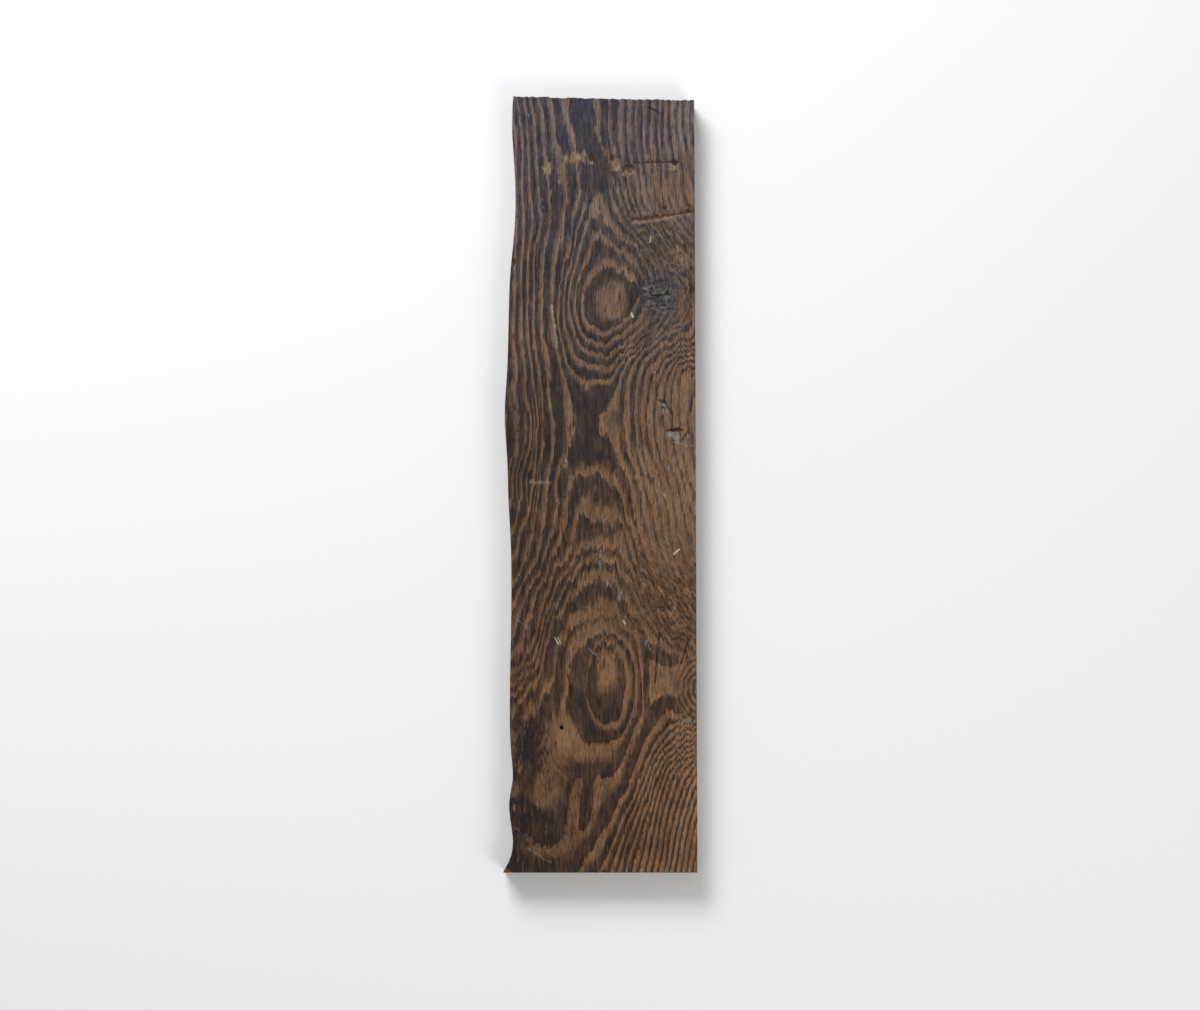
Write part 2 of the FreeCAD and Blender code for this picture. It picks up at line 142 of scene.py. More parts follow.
# Where each year's dark late wood crosses the worn face: year, then lines of (x, y) in millimetres.
# A half year is the middle of the pale early wood between two dark lines.
GROWTH_LINES = (
    # the lower eye and the closed lines round it
    (-2.6, [(11, -190), (11, -200), (12, -209)]),
    (-2.3, [(10, -219)]),
    (-1.75, [(11, -252)]),
    (-2.0, [(6, -177), (-5, -186), (-8, -200), (-8, -225), (0, -241), (11, -240), (19, -238), (23, -220),
            (22, -200), (16, -185)]),
    (-1.5, [(-13, -200), (-10, -238), (8, -259), (26, -232), (28, -205)]),
    (-1.0, [(8, -164), (-6, -167), (-16, -180), (-22, -200), (-23, -230), (-19, -250), (-8, -264),
            (10, -269), (24, -261), (31, -243), (34, -220), (32, -195), (24, -175)]),
    (-0.5, [(0, -156), (-22, -164), (-30, -185), (-33, -215), (-35, -262), (-42, -285), (-48, -332),
            (-66, -328), (-86, -318), (-20, -284), (5, -282), (20, -276), (36, -245), (38, -215),
            (30, -175), (18, -160)]),
    (0.0, [(0, -145), (-20, -151), (-31, -165), (-38, -185), (-42, -210), (-52, -230), (-66, -255),
           (-76, -280), (-82, -310)]),
    (0.0, [(20, -149), (32, -165), (39, -190), (41, -222), (37, -250), (30, -268), (22, -285), (13, -296),
           (0, -300), (-14, -301), (-25, -305), (-31, -320), (-35, -338), (-40, -352), (-52, -360),
           (-70, -354), (-92, -343)]),
    (0.0, [(-10, -316), (-11, -325), (-16, -334), (-10, -340), (-15, -346), (-16, -356)]),
    (0.45, [(-20, -315), (-24, -325), (-25, -335), (-25, -346), (-28, -359), (-3, -311), (-3, -320),
            (-3, -330)]),
    (-0.15, [(-90, -333), (-70, -342), (-52, -348)]),
    (0.5, [(0, -134), (-25, -146), (-40, -170), (-47, -200), (-62, -232)]),
    (0.5, [(24, -142), (40, -175)]),
    (0.5, [(12, -314), (1, -327), (-5, -343), (-11, -359), (-19, -371), (-29, -379), (-45, -386),
           (-63, -381), (-80, -369)]),
    (0.62, [(0, -127), (-15, -135), (14, -134), (-30, -151), (24, -150)]),
    (1.0, [(0, -112), (-10, -117), (-20, -126), (-31, -138), (-43, -155), (-52, -182), (-57, -205),
           (-70, -228), (-88, -250)]),
    (1.0, [(10, -115), (19, -123), (28, -136), (37, -153), (46, -168), (60, -182), (76, -187)]),
    (1.0, [(46, -198), (47, -212), (46, -225)]),
    (1.0, [(86, -238), (79, -233), (71, -232), (63, -237), (56, -244), (50, -253), (45, -265), (39, -284),
           (31, -302), (15, -331), (1, -357), (-10, -377), (-20, -394), (-50, -402), (-82, -388)]),
    (1.5, [(0, -103), (-24, -116), (-48, -148)]),
    (1.5, [(56, -200), (55, -216), (54, -230), (66, -206), (64, -219), (74, -218), (82, -206)]),
    (1.5, [(80, -247), (72, -244), (64, -250), (57, -260), (50, -272)]),
    # the arches between the two eyes
    (2.0, [(0, -91), (-14, -94), (-28, -105), (-42, -128), (-54, -155), (-62, -185), (-74, -208),
           (-92, -228)]),
    (2.0, [(16, -95), (32, -120), (46, -145), (64, -166), (84, -178)]),
    (2.0, [(86, -247), (75, -252), (62, -264), (50, -283), (43, -302), (30, -330), (17, -360), (5, -388)]),
    (2.5, [(0, -85), (-16, -88), (16, -87)]),
    (3.0, [(-92, -217), (-74, -198), (-63, -172), (-53, -142), (-42, -112), (-28, -90), (-14, -80),
           (0, -77), (14, -79), (25, -93), (39, -119), (53, -144), (72, -163), (90, -172)]),
    (3.5, [(-14, -73), (0, -70), (14, -71)]),
    (4.0, [(-20, -51), (-6, -50), (6, -49), (24, -55)]),
    (4.0, [(-34, -92), (-52, -125), (-64, -160), (-74, -188), (-92, -205)]),
    (4.0, [(34, -92), (46, -118), (60, -142), (80, -160)]),
    (3.0, [(95, -252), (82, -257), (70, -266), (59, -281), (49, -300), (37, -330), (24, -360), (13, -390)]),
    (4.5, [(-22, -39), (-8, -35), (6, -36), (15, -41)]),
    (5.0, [(-36, -58), (-32, -34), (-26, -14), (-16, -5), (-6, -7), (6, -10), (15, -15), (21, -27),
           (26, -45), (40, -88), (52, -115), (70, -140), (90, -155)]),
    (5.0, [(-46, -85), (-62, -120), (-74, -158), (-88, -188)]),
    (4.0, [(97, -258), (86, -262), (76, -269), (65, -281), (54, -300), (42, -330), (31, -360), (21, -390)]),
    (5.6, [(-8, 99), (4, 100), (-10, 7), (4, 6)]),
    (6.0, [(-13, 57), (-9, 76), (-11, 38), (-22, 88), (4, 90), (-22, 28), (8, 27)]),
    (6.0, [(-26, 26), (-32, 12), (-38, 0), (-42, -30), (-48, -60), (-57, -90), (-72, -120), (-84, -158)]),
    (6.0, [(15, 24), (21, 8), (28, -12), (33, -30), (39, -58), (47, -90), (58, -118), (76, -136)]),
    (5.0, [(98, -263), (90, -266), (81, -273), (71, -283), (59, -300), (48, -330), (38, -360), (28, -390)]),
    (6.5, [(-31, 58), (-34, 85), (8, 55), (16, 76), (16, 46), (-34, 32)]),
    # the upper eye and the lines round it
    (0.5, [(10, 196), (11, 184), (10, 175)]),
    (1.0, [(0, 213), (-9, 200), (-12, 182), (-5, 168), (6, 159), (20, 163), (30, 175), (34, 190),
           (38, 203), (20, 212)]),
    (1.5, [(-17, 190), (-12, 210), (0, 226), (20, 219), (38, 209)]),
    (1.5, [(0, 151), (-12, 160)]),
    (2.0, [(-22, 180), (-19, 205), (-8, 232), (-1, 248), (8, 240), (20, 232), (34, 225)]),
    (2.0, [(-20, 168), (-10, 152), (4, 145), (15, 150), (28, 161), (40, 175)]),
    (2.5, [(-2, 259)]),
    (3.0, [(-30, 180), (-25, 215), (-20, 243), (-5, 272), (9, 257), (22, 247), (40, 232)]),
    (3.0, [(-27, 165), (-22, 150), (-10, 137), (4, 133), (20, 140), (34, 154), (48, 170)]),
    (3.5, [(-7, 286), (-5, 297)]),
    (4.0, [(-35, 180), (-33, 213), (-27, 240), (-19, 270), (-12, 300), (-4, 318), (6, 300), (11, 280),
           (22, 268), (40, 250)]),
    (4.0, [(-34, 160), (-28, 142), (-14, 127), (4, 123), (18, 130), (34, 144), (50, 160)]),
    (4.5, [(2, 335)]),
    (5.0, [(-41, 180), (-38, 210), (-31, 240), (-25, 270), (-19, 300), (-17, 330), (-18, 358), (-18, 385),
           (-18, 405)]),
    (5.0, [(10, 325), (16, 302), (22, 286)]),
    (5.0, [(-40, 155), (-35, 132), (-26, 118), (-10, 110), (4, 107), (16, 115), (28, 130), (40, 144),
           (55, 159)]),
    (6.0, [(-46, 180), (-45, 210), (-40, 240), (-34, 270), (-32, 300), (-32, 330), (-37, 356), (-44, 380),
           (-48, 402)]),
    (6.0, [(-44, 150), (-40, 130), (-34, 110), (-25, 96)]),
    (6.0, [(13, 97), (20, 112), (30, 127), (42, 140), (58, 152)]),
    (6.0, [(4, 390), (7, 358), (14, 335), (20, 312), (27, 292)]),
    # the long lines of the left side
    (7.0, [(-56, 180), (-56, 210), (-53, 240), (-50, 270), (-48, 300), (-48, 326), (-53, 352), (-57, 380),
           (-61, 405)]),
    (7.0, [(-54, 150), (-50, 122), (-46, 92), (-43, 62), (-45, 30), (-50, 0), (-53, -30), (-58, -60),
           (-66, -90), (-80, -118)]),
    (8.0, [(-66, 180), (-66, 215), (-65, 240), (-61, 270), (-61, 300), (-63, 330), (-66, 360), (-70, 400)]),
    (8.0, [(-66, 150), (-62, 120), (-60, 90), (-58, 60), (-57, 30), (-61, 0), (-64, -30), (-68, -60),
           (-77, -90)]),
    (9.0, [(-73, 180), (-73, 215), (-72, 240), (-68, 270), (-70, 300), (-72, 330), (-73, 360), (-77, 400)]),
    (9.0, [(-73, 150), (-70, 120), (-67, 90), (-64, 60), (-65, 30), (-68, 0), (-71, -30), (-78, -62),
           (-88, -92)]),
    (10.0, [(-80, 180), (-79, 240), (-76, 270), (-78, 300), (-79, 330), (-79, 360), (-84, 400)]),
    (10.0, [(-80, 150), (-76, 120), (-74, 90), (-71, 60), (-74, 30), (-80, 0), (-79, -30), (-90, -66)]),
    (11.0, [(-88, 180), (-86, 240), (-84, 270), (-86, 300), (-86, 330), (-86, 360), (-92, 400)]),
    (11.0, [(-88, 150), (-84, 120), (-84, 90), (-82, 60), (-84, 30), (-88, 0), (-89, -30)]),
    (12.0, [(-95, 180), (-92, 240), (-91, 270), (-93, 330), (-94, 360)]),
    (12.0, [(-95, 120), (-97, 90), (-96, 60), (-96, 30), (-96, 0)]),
    # the long lines of the right side
    (7.0, [(14, 392), (16, 360), (22, 335), (28, 312), (33, 292)]),
    (7.0, [(65, 152), (48, 140), (36, 126), (28, 110), (24, 90), (22, 60), (26, 30), (35, 0), (44, -30),
           (51, -60), (58, -90), (68, -114), (90, -130)]),
    (6.0, [(98, -268), (89, -274), (78, -284), (64, -300), (53, -330), (44, -360), (36, -390)]),
    (8.0, [(28, 392), (27, 360), (32, 330), (36, 305), (40, 288)]),
    (8.0, [(80, 155), (62, 142), (48, 130), (39, 112), (35, 90), (34, 60), (38, 30), (46, 0), (54, -30),
           (59, -60), (67, -90), (84, -116)]),
    (7.0, [(98, -273), (90, -279), (80, -289), (69, -300), (58, -330), (50, -360), (43, -390)]),
    (9.0, [(36, 392), (36, 360), (39, 330), (43, 305), (47, 288)]),
    (9.0, [(94, 148), (74, 138), (56, 124), (46, 108), (42, 90), (42, 60), (45, 30), (53, 0), (61, -30),
           (66, -60), (74, -90), (94, -112)]),
    (8.0, [(98, -279), (87, -288), (74, -303), (63, -330), (56, -360), (50, -390)]),
    (10.0, [(43, 392), (44, 360), (46, 330), (51, 300)]),
    (10.0, [(62, 116), (52, 100), (50, 60), (53, 30), (62, 0), (69, -30), (74, -60), (82, -90)]),
    (9.0, [(98, -285), (89, -293), (80, -303), (69, -330), (61, -360), (56, -390)]),
    (11.0, [(52, 392), (51, 360), (54, 330), (58, 300)]),
    (11.0, [(68, 116), (60, 100), (58, 60), (60, 30), (70, 0), (78, -30), (82, -60), (92, -90)]),
    (10.0, [(98, -291), (87, -303), (75, -330), (67, -360), (62, -390)]),
    (12.0, [(61, 392), (60, 360), (63, 330), (65, 300)]),
    (12.0, [(76, 116), (68, 90), (68, 60), (69, 30), (78, 0), (87, -30), (92, -60)]),
    (11.0, [(98, -298), (93, -305), (81, -330), (73, -360), (68, -390)]),
    (13.0, [(67, 392), (67, 360), (71, 330), (72, 300)]),
    (13.0, [(82, 116), (75, 90), (76, 60), (77, 30), (86, 0)]),
    (12.0, [(88, -330), (79, -360), (74, -390)]),
    (14.0, [(73, 392), (74, 360), (79, 330), (80, 300)]),
    (14.0, [(90, 116), (83, 90), (84, 60), (86, 30), (94, 0)]),
    (13.0, [(94, -330), (85, -360), (80, -390)]),
    (15.0, [(81, 392), (82, 360), (87, 330), (89, 300)]),
    (15.0, [(94, 90), (94, 60)]),
    (14.0, [(91, -360), (86, -390)]),
    (16.0, [(88, 392), (89, 360), (96, 330)]),
    (15.0, [(97, -360), (91, -390)]),
    (17.0, [(96, 392), (97, 360)]),
    (16.0, [(97, -390)]),
)

# The middle of the figure across the board, at heights along it
HEART_LINE = ((-407, -40), (-330, -10), (-200, 8), (-60, 0), (57, -12), (187, 10), (300, -5), (407, -16))

# How wide the dark part of a year is, by place: (x, y, share of the year)
LATE_SHARE = (
    (-80, 350, 0.52), (-80, 180, 0.55), (-85, 20, 0.58), (-70, -80, 0.57), (-80, -150, 0.52),
    (-30, 370, 0.58), (-30, 280, 0.55), (0, 190, 0.55), (-10, 120, 0.52), (-12, 57, 0.6), (-5, -10, 0.58),
    (0, -60, 0.5), (0, -110, 0.52), (5, -152, 0.3), (-15, -220, 0.64), (10, -245, 0.6), (-20, -310, 0.55),
    (-60, -300, 0.45), (-60, -380, 0.68), (20, -330, 0.56), (40, -275, 0.56), (2, -366, 0.54),
    (30, 350, 0.5), (75, 370, 0.5), (75, 310, 0.36), (60, 240, 0.4), (60, 145, 0.5), (50, 70, 0.36),
    (80, 70, 0.26), (60, -20, 0.26), (80, -70, 0.2), (45, -90, 0.34), (75, -140, 0.34), (70, -200, 0.4),
    (70, -280, 0.4), (75, -360, 0.34),
)

# How far values given at single places reach, in millimetres, how much further along the board than across,
# and what is left of them far away; and how steeply an oval spot fades
SHARE_REACH = 36.0
LIGHTNESS_REACH = 60.0
ALONG_SHARE = 0.6
FAR_WEIGHT = 1e-6
SPOT_FADE = 0.9

# Places where the dark wood runs together, or gives way where the number is below 0: (x, y, half width,
# half height, change of the share)
DARK_PLACES = (
    (0, 322, 17, 20, 0.5), (-12, 340, 10, 14, 0.3), (-18, 380, 13, 26, 0.35), (-46, 290, 7, 40, 0.25),
    (38, 197, 9, 8, 0.6), (-9, 78, 15, 14, 0.4), (-13, 57, 9, 12, 0.35), (-9, 33, 19, 12, 0.35),
    (-4, -20, 15, 8, 0.2), (0, -116, 13, 7, 0.4), (-22, -129, 12, 9, 0.4), (-42, -150, 8, 12, 0.3),
    (27, -134, 9, 11, 0.35), (40, -157, 7, 11, 0.3), (-20, -218, 8, 30, 0.3), (5, -236, 14, 13, 0.3),
    (-10, -262, 14, 9, 0.25), (-6, -205, 5, 26, 0.3), (0, 85, 10, 12, 0.3), (48, -212, 5, 15, 0.5),
    (64, -184, 16, 7, 0.12), (-68, -356, 32, 13, 0.5), (-72, -373, 20, 7, 0.3), (5, -309, 5, 8, 0.3),
    (-15, -341, 6, 14, 0.15), (-60, -398, 34, 10, 0.25), (62, -214, 8, 9, -0.4),
    (-37, -270, 11, 16, -0.45), (0, -77, 18, 5, -0.3), (-15, -26, 5, 8, -0.2), (0, -150, 30, 11, -0.6),
    (-22, -215, 9, 34, 0.3), (-17, -340, 6, 14, 0.2), (-20, -304, 12, 7, 0.25), (48, -250, 6, 10, 0.25),
    (30, -300, 6, 14, 0.2), (8, -346, 8, 14, 0.3), (-10, 286, 9, 7, -0.4), (16, 52, 7, 10, -0.3),
    (-7, -46, 2.4, 9, -0.5), (15, -48, 2.4, 9, -0.5), (60, 305, 28, 18, -0.15), (70, 15, 22, 40, -0.08),
)

# How much of a dark line is broken away, by place: (x, y, share)
LINE_LOSS = (
    (-80, 350, 0.3), (-80, 150, 0.25), (-85, 0, 0.1), (-80, -170, 0.4), (-60, -290, 0.35),
    (-60, -380, 0.35), (-15, 380, 0.1), (0, 320, 0.1), (0, 280, 0.4), (0, 190, 0.2), (-12, 57, 0.05),
    (0, -55, 0.3), (0, -80, 0.7), (0, -116, 0.1), (28, -138, 0.1), (-30, -136, 0.1), (5, -150, 0.8),
    (0, -220, 0.12), (20, -320, 0.2), (40, 350, 0.4), (80, 370, 0.4), (75, 300, 0.7), (60, 130, 0.25),
    (60, 60, 0.45), (85, 60, 0.55), (70, -30, 0.55), (80, -90, 0.75), (50, -110, 0.55), (75, -160, 0.5),
    (65, -215, 0.3), (70, -290, 0.2), (75, -370, 0.15),
)

# Where a year's dark line splits into two finer ones: (x, y, half width, half height, strength)
SPLIT_LINES = ((-84, 5, 22, 85, 1.0), (-66, 60, 9, 50, 0.8))

# The wood's lightness by place, darker toward the left side and most at the lower left end, lighter toward
# the right and most at the lower right: (x, y, lightness)
LIGHTNESS_BY_PLACE = (
    (-85, 340, 0.97), (0, 340, 0.97), (80, 340, 1.06), (-80, 160, 0.95), (0, 180, 1.0), (80, 200, 1.02),
    (-80, 0, 0.86), (0, 0, 1.04), (85, 20, 1.22), (-86, -60, 0.78), (-84, -120, 0.76), (-30, -160, 1.06),
    (0, -120, 0.98), (80, -100, 1.1), (-75, -260, 0.88), (0, -240, 1.02), (80, -260, 1.26),
    (-80, -365, 0.62), (-50, -392, 0.66), (-20, -370, 0.92), (30, -370, 1.15), (85, -360, 1.5),
)

# Swirled places where the lines blur into fine ripples: how far the ripples lean and turn, how much shorter
# their fibres are, how much less they are worn, and (x, y, half width, half height, strength)
SWIRL_LEAN = 0.6
SWIRL_TURN = 0.4
SWIRL_SHORTER = 1.6
SWIRL_UNWORN = 0.5
SWIRLS = (
    (62, 250, 36, 30, 0.85), (78, -128, 34, 44, 0.95), (48, -105, 22, 34, 0.75), (42, -150, 18, 24, 0.6),
    (70, -70, 30, 24, 0.5), (-40, -305, 16, 30, 0.5),
)

# Curled places where the ripples lean the other way and are broken across
CURLS = ((50, 156, 22, 16, 0.85),)

# Dark dirt trodden into the wood: (x, y, half width, half height, strength)
STAINS = (
    (-84, 20, 30, 130, 0.45), (-74, -277, 28, 38, 1.1), (-60, -288, 14, 24, 0.95),
    (-60, -262, 11, 16, 0.8), (-72, -376, 22, 8, 0.6), (-74, -348, 32, 14, 1.05), (-84, -366, 16, 9, 0.8),
    (-88, -336, 12, 8, 1.0), (-68, -341, 12, 5, 0.9), (-84, -396, 46, 14, 0.75), (-39.5, -259, 4, 5, 0.8),
    (64, -312, 11, 4, 0.6), (88, -321, 13, 4, 0.65), (-20, 376, 16, 40, 0.35), (-46, 300, 12, 60, 0.25),
    (66, 191, 30, 26, 0.35), (76, 174, 7, 5, 0.8), (62, 208, 17, 6, 1.0), (90, 216, 5, 8, 0.9),
    (95, 201, 4, 11, 0.95), (90, 243, 3.5, 8, 0.9), (40, 201, 8, 6, 0.6), (-92, 228, 6, 8, 0.9),
    (66, -184, 18, 8, 0.75), (-90, -150, 18, 70, 0.35), (97, 330, 5, 80, 0.3), (97, -120, 4, 160, 0.35),
    (-20, -225, 8, 40, 0.25), (-12, 60, 18, 40, 0.3), (-70, -70, 26, 50, 0.35), (56, 150, 18, 12, 0.4),
)

# Pale wood torn bare, with ragged rims: (x, y, half width, half height, strength)
TORN_CHIPS = (
    (-56, 329, 6, 9, 1.1), (-60, 345, 3, 9, 0.6), (-38, 339, 5.5, 7, 0.9), (-42, 320, 3.5, 22, 0.65),
    (-24, 340, 9, 6, 1.15), (-17, 345, 4, 6, 0.7), (-21, 328, 3, 12, 0.6), (-11, 335, 4, 5, 0.8),
    (15, 345, 4, 9, 0.75), (17, 332, 5.5, 7, 1.3), (28, 322, 6, 2.6, 1.2), (34, 324, 6, 2, 0.7),
    (77, 329, 6, 3.5, 1.2), (58, 329, 20, 3, 0.5), (82, 279, 5, 3, 1.3), (95, 279, 4, 3, 1.1),
    (52, 272, 18, 2, 0.5), (72, 275, 12, 2, 0.55), (79, 240, 10, 7, 0.72), (88, 230, 8, 8, 0.72),
    (66, 69, 4, 6, 0.75), (71, 66, 2, 4, 0.7), (67, 57, 2.5, 4, 0.65), (72, 42, 3, 2.5, 0.75),
    (80, 37, 7, 2.5, 0.95), (90, 33, 8, 3.4, 0.85), (-44, -24, 3.4, 5, 0.7), (-35, 15, 2.4, 12, 0.8),
    (97, -60, 4, 30, 0.5), (-88, -342, 2, 7, 0.5), (-78, -345, 1.8, 8, 0.5), (-70, -350, 2, 9, 0.55),
    (-55, -358, 2.2, 9, 0.55), (-68, -371, 2, 8, 0.5), (-82, -385, 2, 6, 0.5), (-86, -397, 2, 5, 0.5),
    (80, 156, 6, 2.4, 0.6), (-86, 300, 2, 20, 0.4),
)

# Wood rubbed paler, without a rim: (x, y, half width, half height, strength)
RUBBED_WOOD = (
    (-37, -268, 11, 16, 0.95), (75, -60, 26, 60, 0.3), (2, -286, 18, 6, 0.35), (8, -205, 9, 16, 0.35),
    (72, 300, 26, 24, 0.35), (85, 10, 14, 30, 0.35), (20, 46, 8, 14, 0.3), (12, 330, 16, 14, 0.15),
    (10, 185, 15, 18, 0.15), (82, 236, 14, 12, 0.3), (85, 186, 4.5, 20, 0.45),
)

# Painted blue-grey sheen and highlights on the hard wood, on the lit walls of pits and at the upper left,
# and pale scuffed lumps in the grey knot: (x, y, half width, half height, strength)
SHEEN_AND_SCUFFS = (
    (57, 110, 2.5, 6, 0.8), (73.5, 45.5, 4.5, 3.4, 1.35), (80, 42.5, 5, 4, 1.35), (85, 38, 3, 3, 1.1),
    (91.5, 44, 4, 3.4, 1.05), (67.5, 77, 4, 2.4, 1.15), (71.5, 71.5, 2.4, 4, 1.15),
    (65.5, 71, 1.8, 4, 0.9), (66, 61, 1.6, 3, 0.8), (72, 9, 1.6, 4, 1.2), (97, 33, 2, 4, 0.8),
    (0, -89, 4, 4, 0.8), (11, -89, 3.5, 4.5, 0.9), (8, -112, 7, 4, 0.85), (42.5, -97, 1.8, 3.6, 0.85),
    (20, -122, 3, 7, 0.95), (90, -253, 7, 3, 0.95), (-84, 45, 6, 12, 0.5), (-93, 380, 3, 20, 0.75),
    (-85, 372, 3, 16, 0.65), (-76, 385, 3, 14, 0.5), (-50, 352, 4, 14, 0.6), (-47, 372, 3, 10, 0.55),
    (-60, 290, 4, 30, 0.4), (-44, 310, 3, 14, 0.5), (48, -171, 4, 5, 0.95), (53, -178, 3, 4, 0.85),
    (-9, 336, 2, 2.4, 1.3), (48, 200, 4, 2.4, 1.1), (74, 199, 2.5, 2.5, 0.9), (52, 186, 2.4, 2.4, 1.0),
    (65, 179.5, 5, 2.4, 0.95), (78, 180, 4, 2, 0.7), (60, 197.5, 5.5, 3, 0.65), (62, 187, 4.5, 3, 0.5),
    (67.5, 189.5, 2.4, 3, 0.95), (72.5, 192, 2, 2.4, 0.85), (-95, 226, 4, 5, 0.9), (-60, 10, 20, 30, 0.4),
    (98, -300, 2.5, 16, 0.6), (20, 388, 3, 16, 0.4), (-40, -30, 20, 24, 0.35), (80, 156, 8, 3, 0.5),
    (-62, 100, 5, 20, 0.4), (-45, 95, 4, 10, 0.5), (48, 96, 2, 6, 0.6), (78, -160, 4, 3, 0.55),
    (-36, -208, 3, 5, 0.45),
)

# Dents, pits and torn places: (x, y, half width, half height, depth), and how dark a depth looks
DENTS = (
    (-53, 338, 4, 3.5, 1.2), (-56, 331, 6, 8, 0.5), (-9, 340, 3, 5, 1.6), (13, 341, 3, 4, 1.5),
    (28, 331, 3, 3.5, 1.4), (34, 331, 3, 3.5, 1.4), (80, 335, 4, 3.5, 1.4), (68, 287, 3.5, 3, 1.4),
    (93, 284, 4, 3, 1.3), (67, 66, 6, 11, 0.45), (78, 50, 8, 2.2, 1.5), (88, 42, 3.6, 4, 0.6),
    (-93, 230, 7, 6, 1.4), (-22, 343, 8, 6, 0.45), (-38, 339, 5, 4, 0.45), (96, -245, 5, 6, 0.7),
    (-80, -260, 8, 10, 0.4), (97, 108, 3, 4, 1.2), (98, 12, 4, 8, 0.6), (63, 62, 2, 8, 0.9),
)
DENT_SHADE = 0.75


def smooth(low, high, value):
    """0 below low, 1 above high, and an even curve between."""
    part = np.clip((value - low) / (high - low), 0.0, 1.0)
    return part * part * (3.0 - 2.0 * part)


def grain_noise(x, y, across, along, seed):
    """Smooth noise of 0 to 1 with cells of across by along millimetres."""
    table = np.random.default_rng(seed).random((NOISE_TABLE, NOISE_TABLE))
    column = x / across + NOISE_START
    row = y / along + NOISE_START
    i = np.floor(column).astype(int)
    j = np.floor(row).astype(int)
    s = smooth(0.0, 1.0, column - i)
    t = smooth(0.0, 1.0, row - j)
    i %= NOISE_TABLE - 1
    j %= NOISE_TABLE - 1
    lower = table[i, j] * (1.0 - s) + table[i + 1, j] * s
    upper = table[i, j + 1] * (1.0 - s) + table[i + 1, j + 1] * s
    return lower * (1.0 - t) + upper * t


def varied(x, y, cells, least, more):
    """Noise from least up to least and more together."""
    return least + more * grain_noise(x, y, *cells)


def oval_spot(x, y, spot_x, spot_y, half_width, half_height, fade=SPOT_FADE):
    """1 in the middle of a soft oval spot, and less away from it."""
    away = ((x - spot_x) / half_width) ** 2 + ((y - spot_y) / half_height) ** 2
    return np.exp(-away * fade)


def patches(spots, x, y, fade=SPOT_FADE):
    """The strongest of several soft oval spots at each place, and how strong."""
    total = np.zeros_like(x)
    for *spot, strength in spots:
        total = np.maximum(total, strength * oval_spot(x, y, *spot, fade))
    return total


def heaped(spots, x, y):
    """Soft oval spots added together."""
    total = np.zeros_like(x)
    for *spot, change in spots:
        total += change * oval_spot(x, y, *spot)
    return total


def spread(spots, reach, x, y):
    """Values given at a few places, blended smoothly between them."""
    weights = np.zeros_like(x)
    total = np.zeros_like(x)
    for spot_x, spot_y, value in spots:
        away = ((x - spot_x) ** 2 + (ALONG_SHARE * (y - spot_y)) ** 2) / reach ** 2
        weight = np.exp(-away) + FAR_WEIGHT / (1.0 + away)
        weights += weight
        total += weight * value
    return total / weights


# The growth of the tree as one smooth field of years over the board
def bend_energy(distance_squared):
    """The thin-plate spline's kernel."""
    return 0.5 * distance_squared * np.log(distance_squared + NEVER_ZERO)


def grow():
    """Bends a thin plate through the growth lines, and gives the places that hold it and their weights."""
    places = []
    years = []
    for year, line in GROWTH_LINES:
        places.extend(line)
        years.extend([year] * len(line))
    held = np.array(places, float) * (1.0, SQUASH)
    count = len(held)
    apart = ((held[:, None] - held[None]) ** 2).sum(-1)
    plane = np.column_stack([np.ones(count), held])
    system = np.zeros((count + 3, count + 3))
    system[:count, :count] = bend_energy(apart) + LINE_SLACK * np.eye(count)
    system[:count, count:] = plane
    system[count:, :count] = plane.T
    return held, np.linalg.solve(system, np.array(years + [0.0, 0.0, 0.0]))


def face_year(x, y):
    """The year at places on the worn face."""
    held, weights = PLATE
    places = np.column_stack([x.ravel(), y.ravel() * SQUASH])
    years = np.empty(len(places))
    for start in range(0, len(places), PLACES_AT_ONCE):
        stop = start + PLACES_AT_ONCE
        part = places[start:stop]
        apart = ((part[:, None] - held[None]) ** 2).sum(-1)
        years[start:stop] = bend_energy(apart) @ weights[:-3] + weights[-3] + part @ weights[-2:]
    return years.reshape(x.shape)


def carry_to_face(x, y, z):
    """Where the growth ring through a place in the wood meets the worn face, and the years it falls short."""
    middle = np.interp(y, *np.array(HEART_LINE).T)
    depth = np.maximum(TOP - z, 0.0)
    radius = np.hypot(x - middle, HEART_DEPTH - depth)
    reach = np.sqrt(np.maximum(radius ** 2 - HEART_DEPTH ** 2, 0.0))
    side = np.where(x < middle, -1.0, 1.0)
    short = np.maximum(HEART_DEPTH - radius, 0.0) / YEAR_WIDTH
    return np.where(depth < TOUCHING, x, middle + side * reach), short


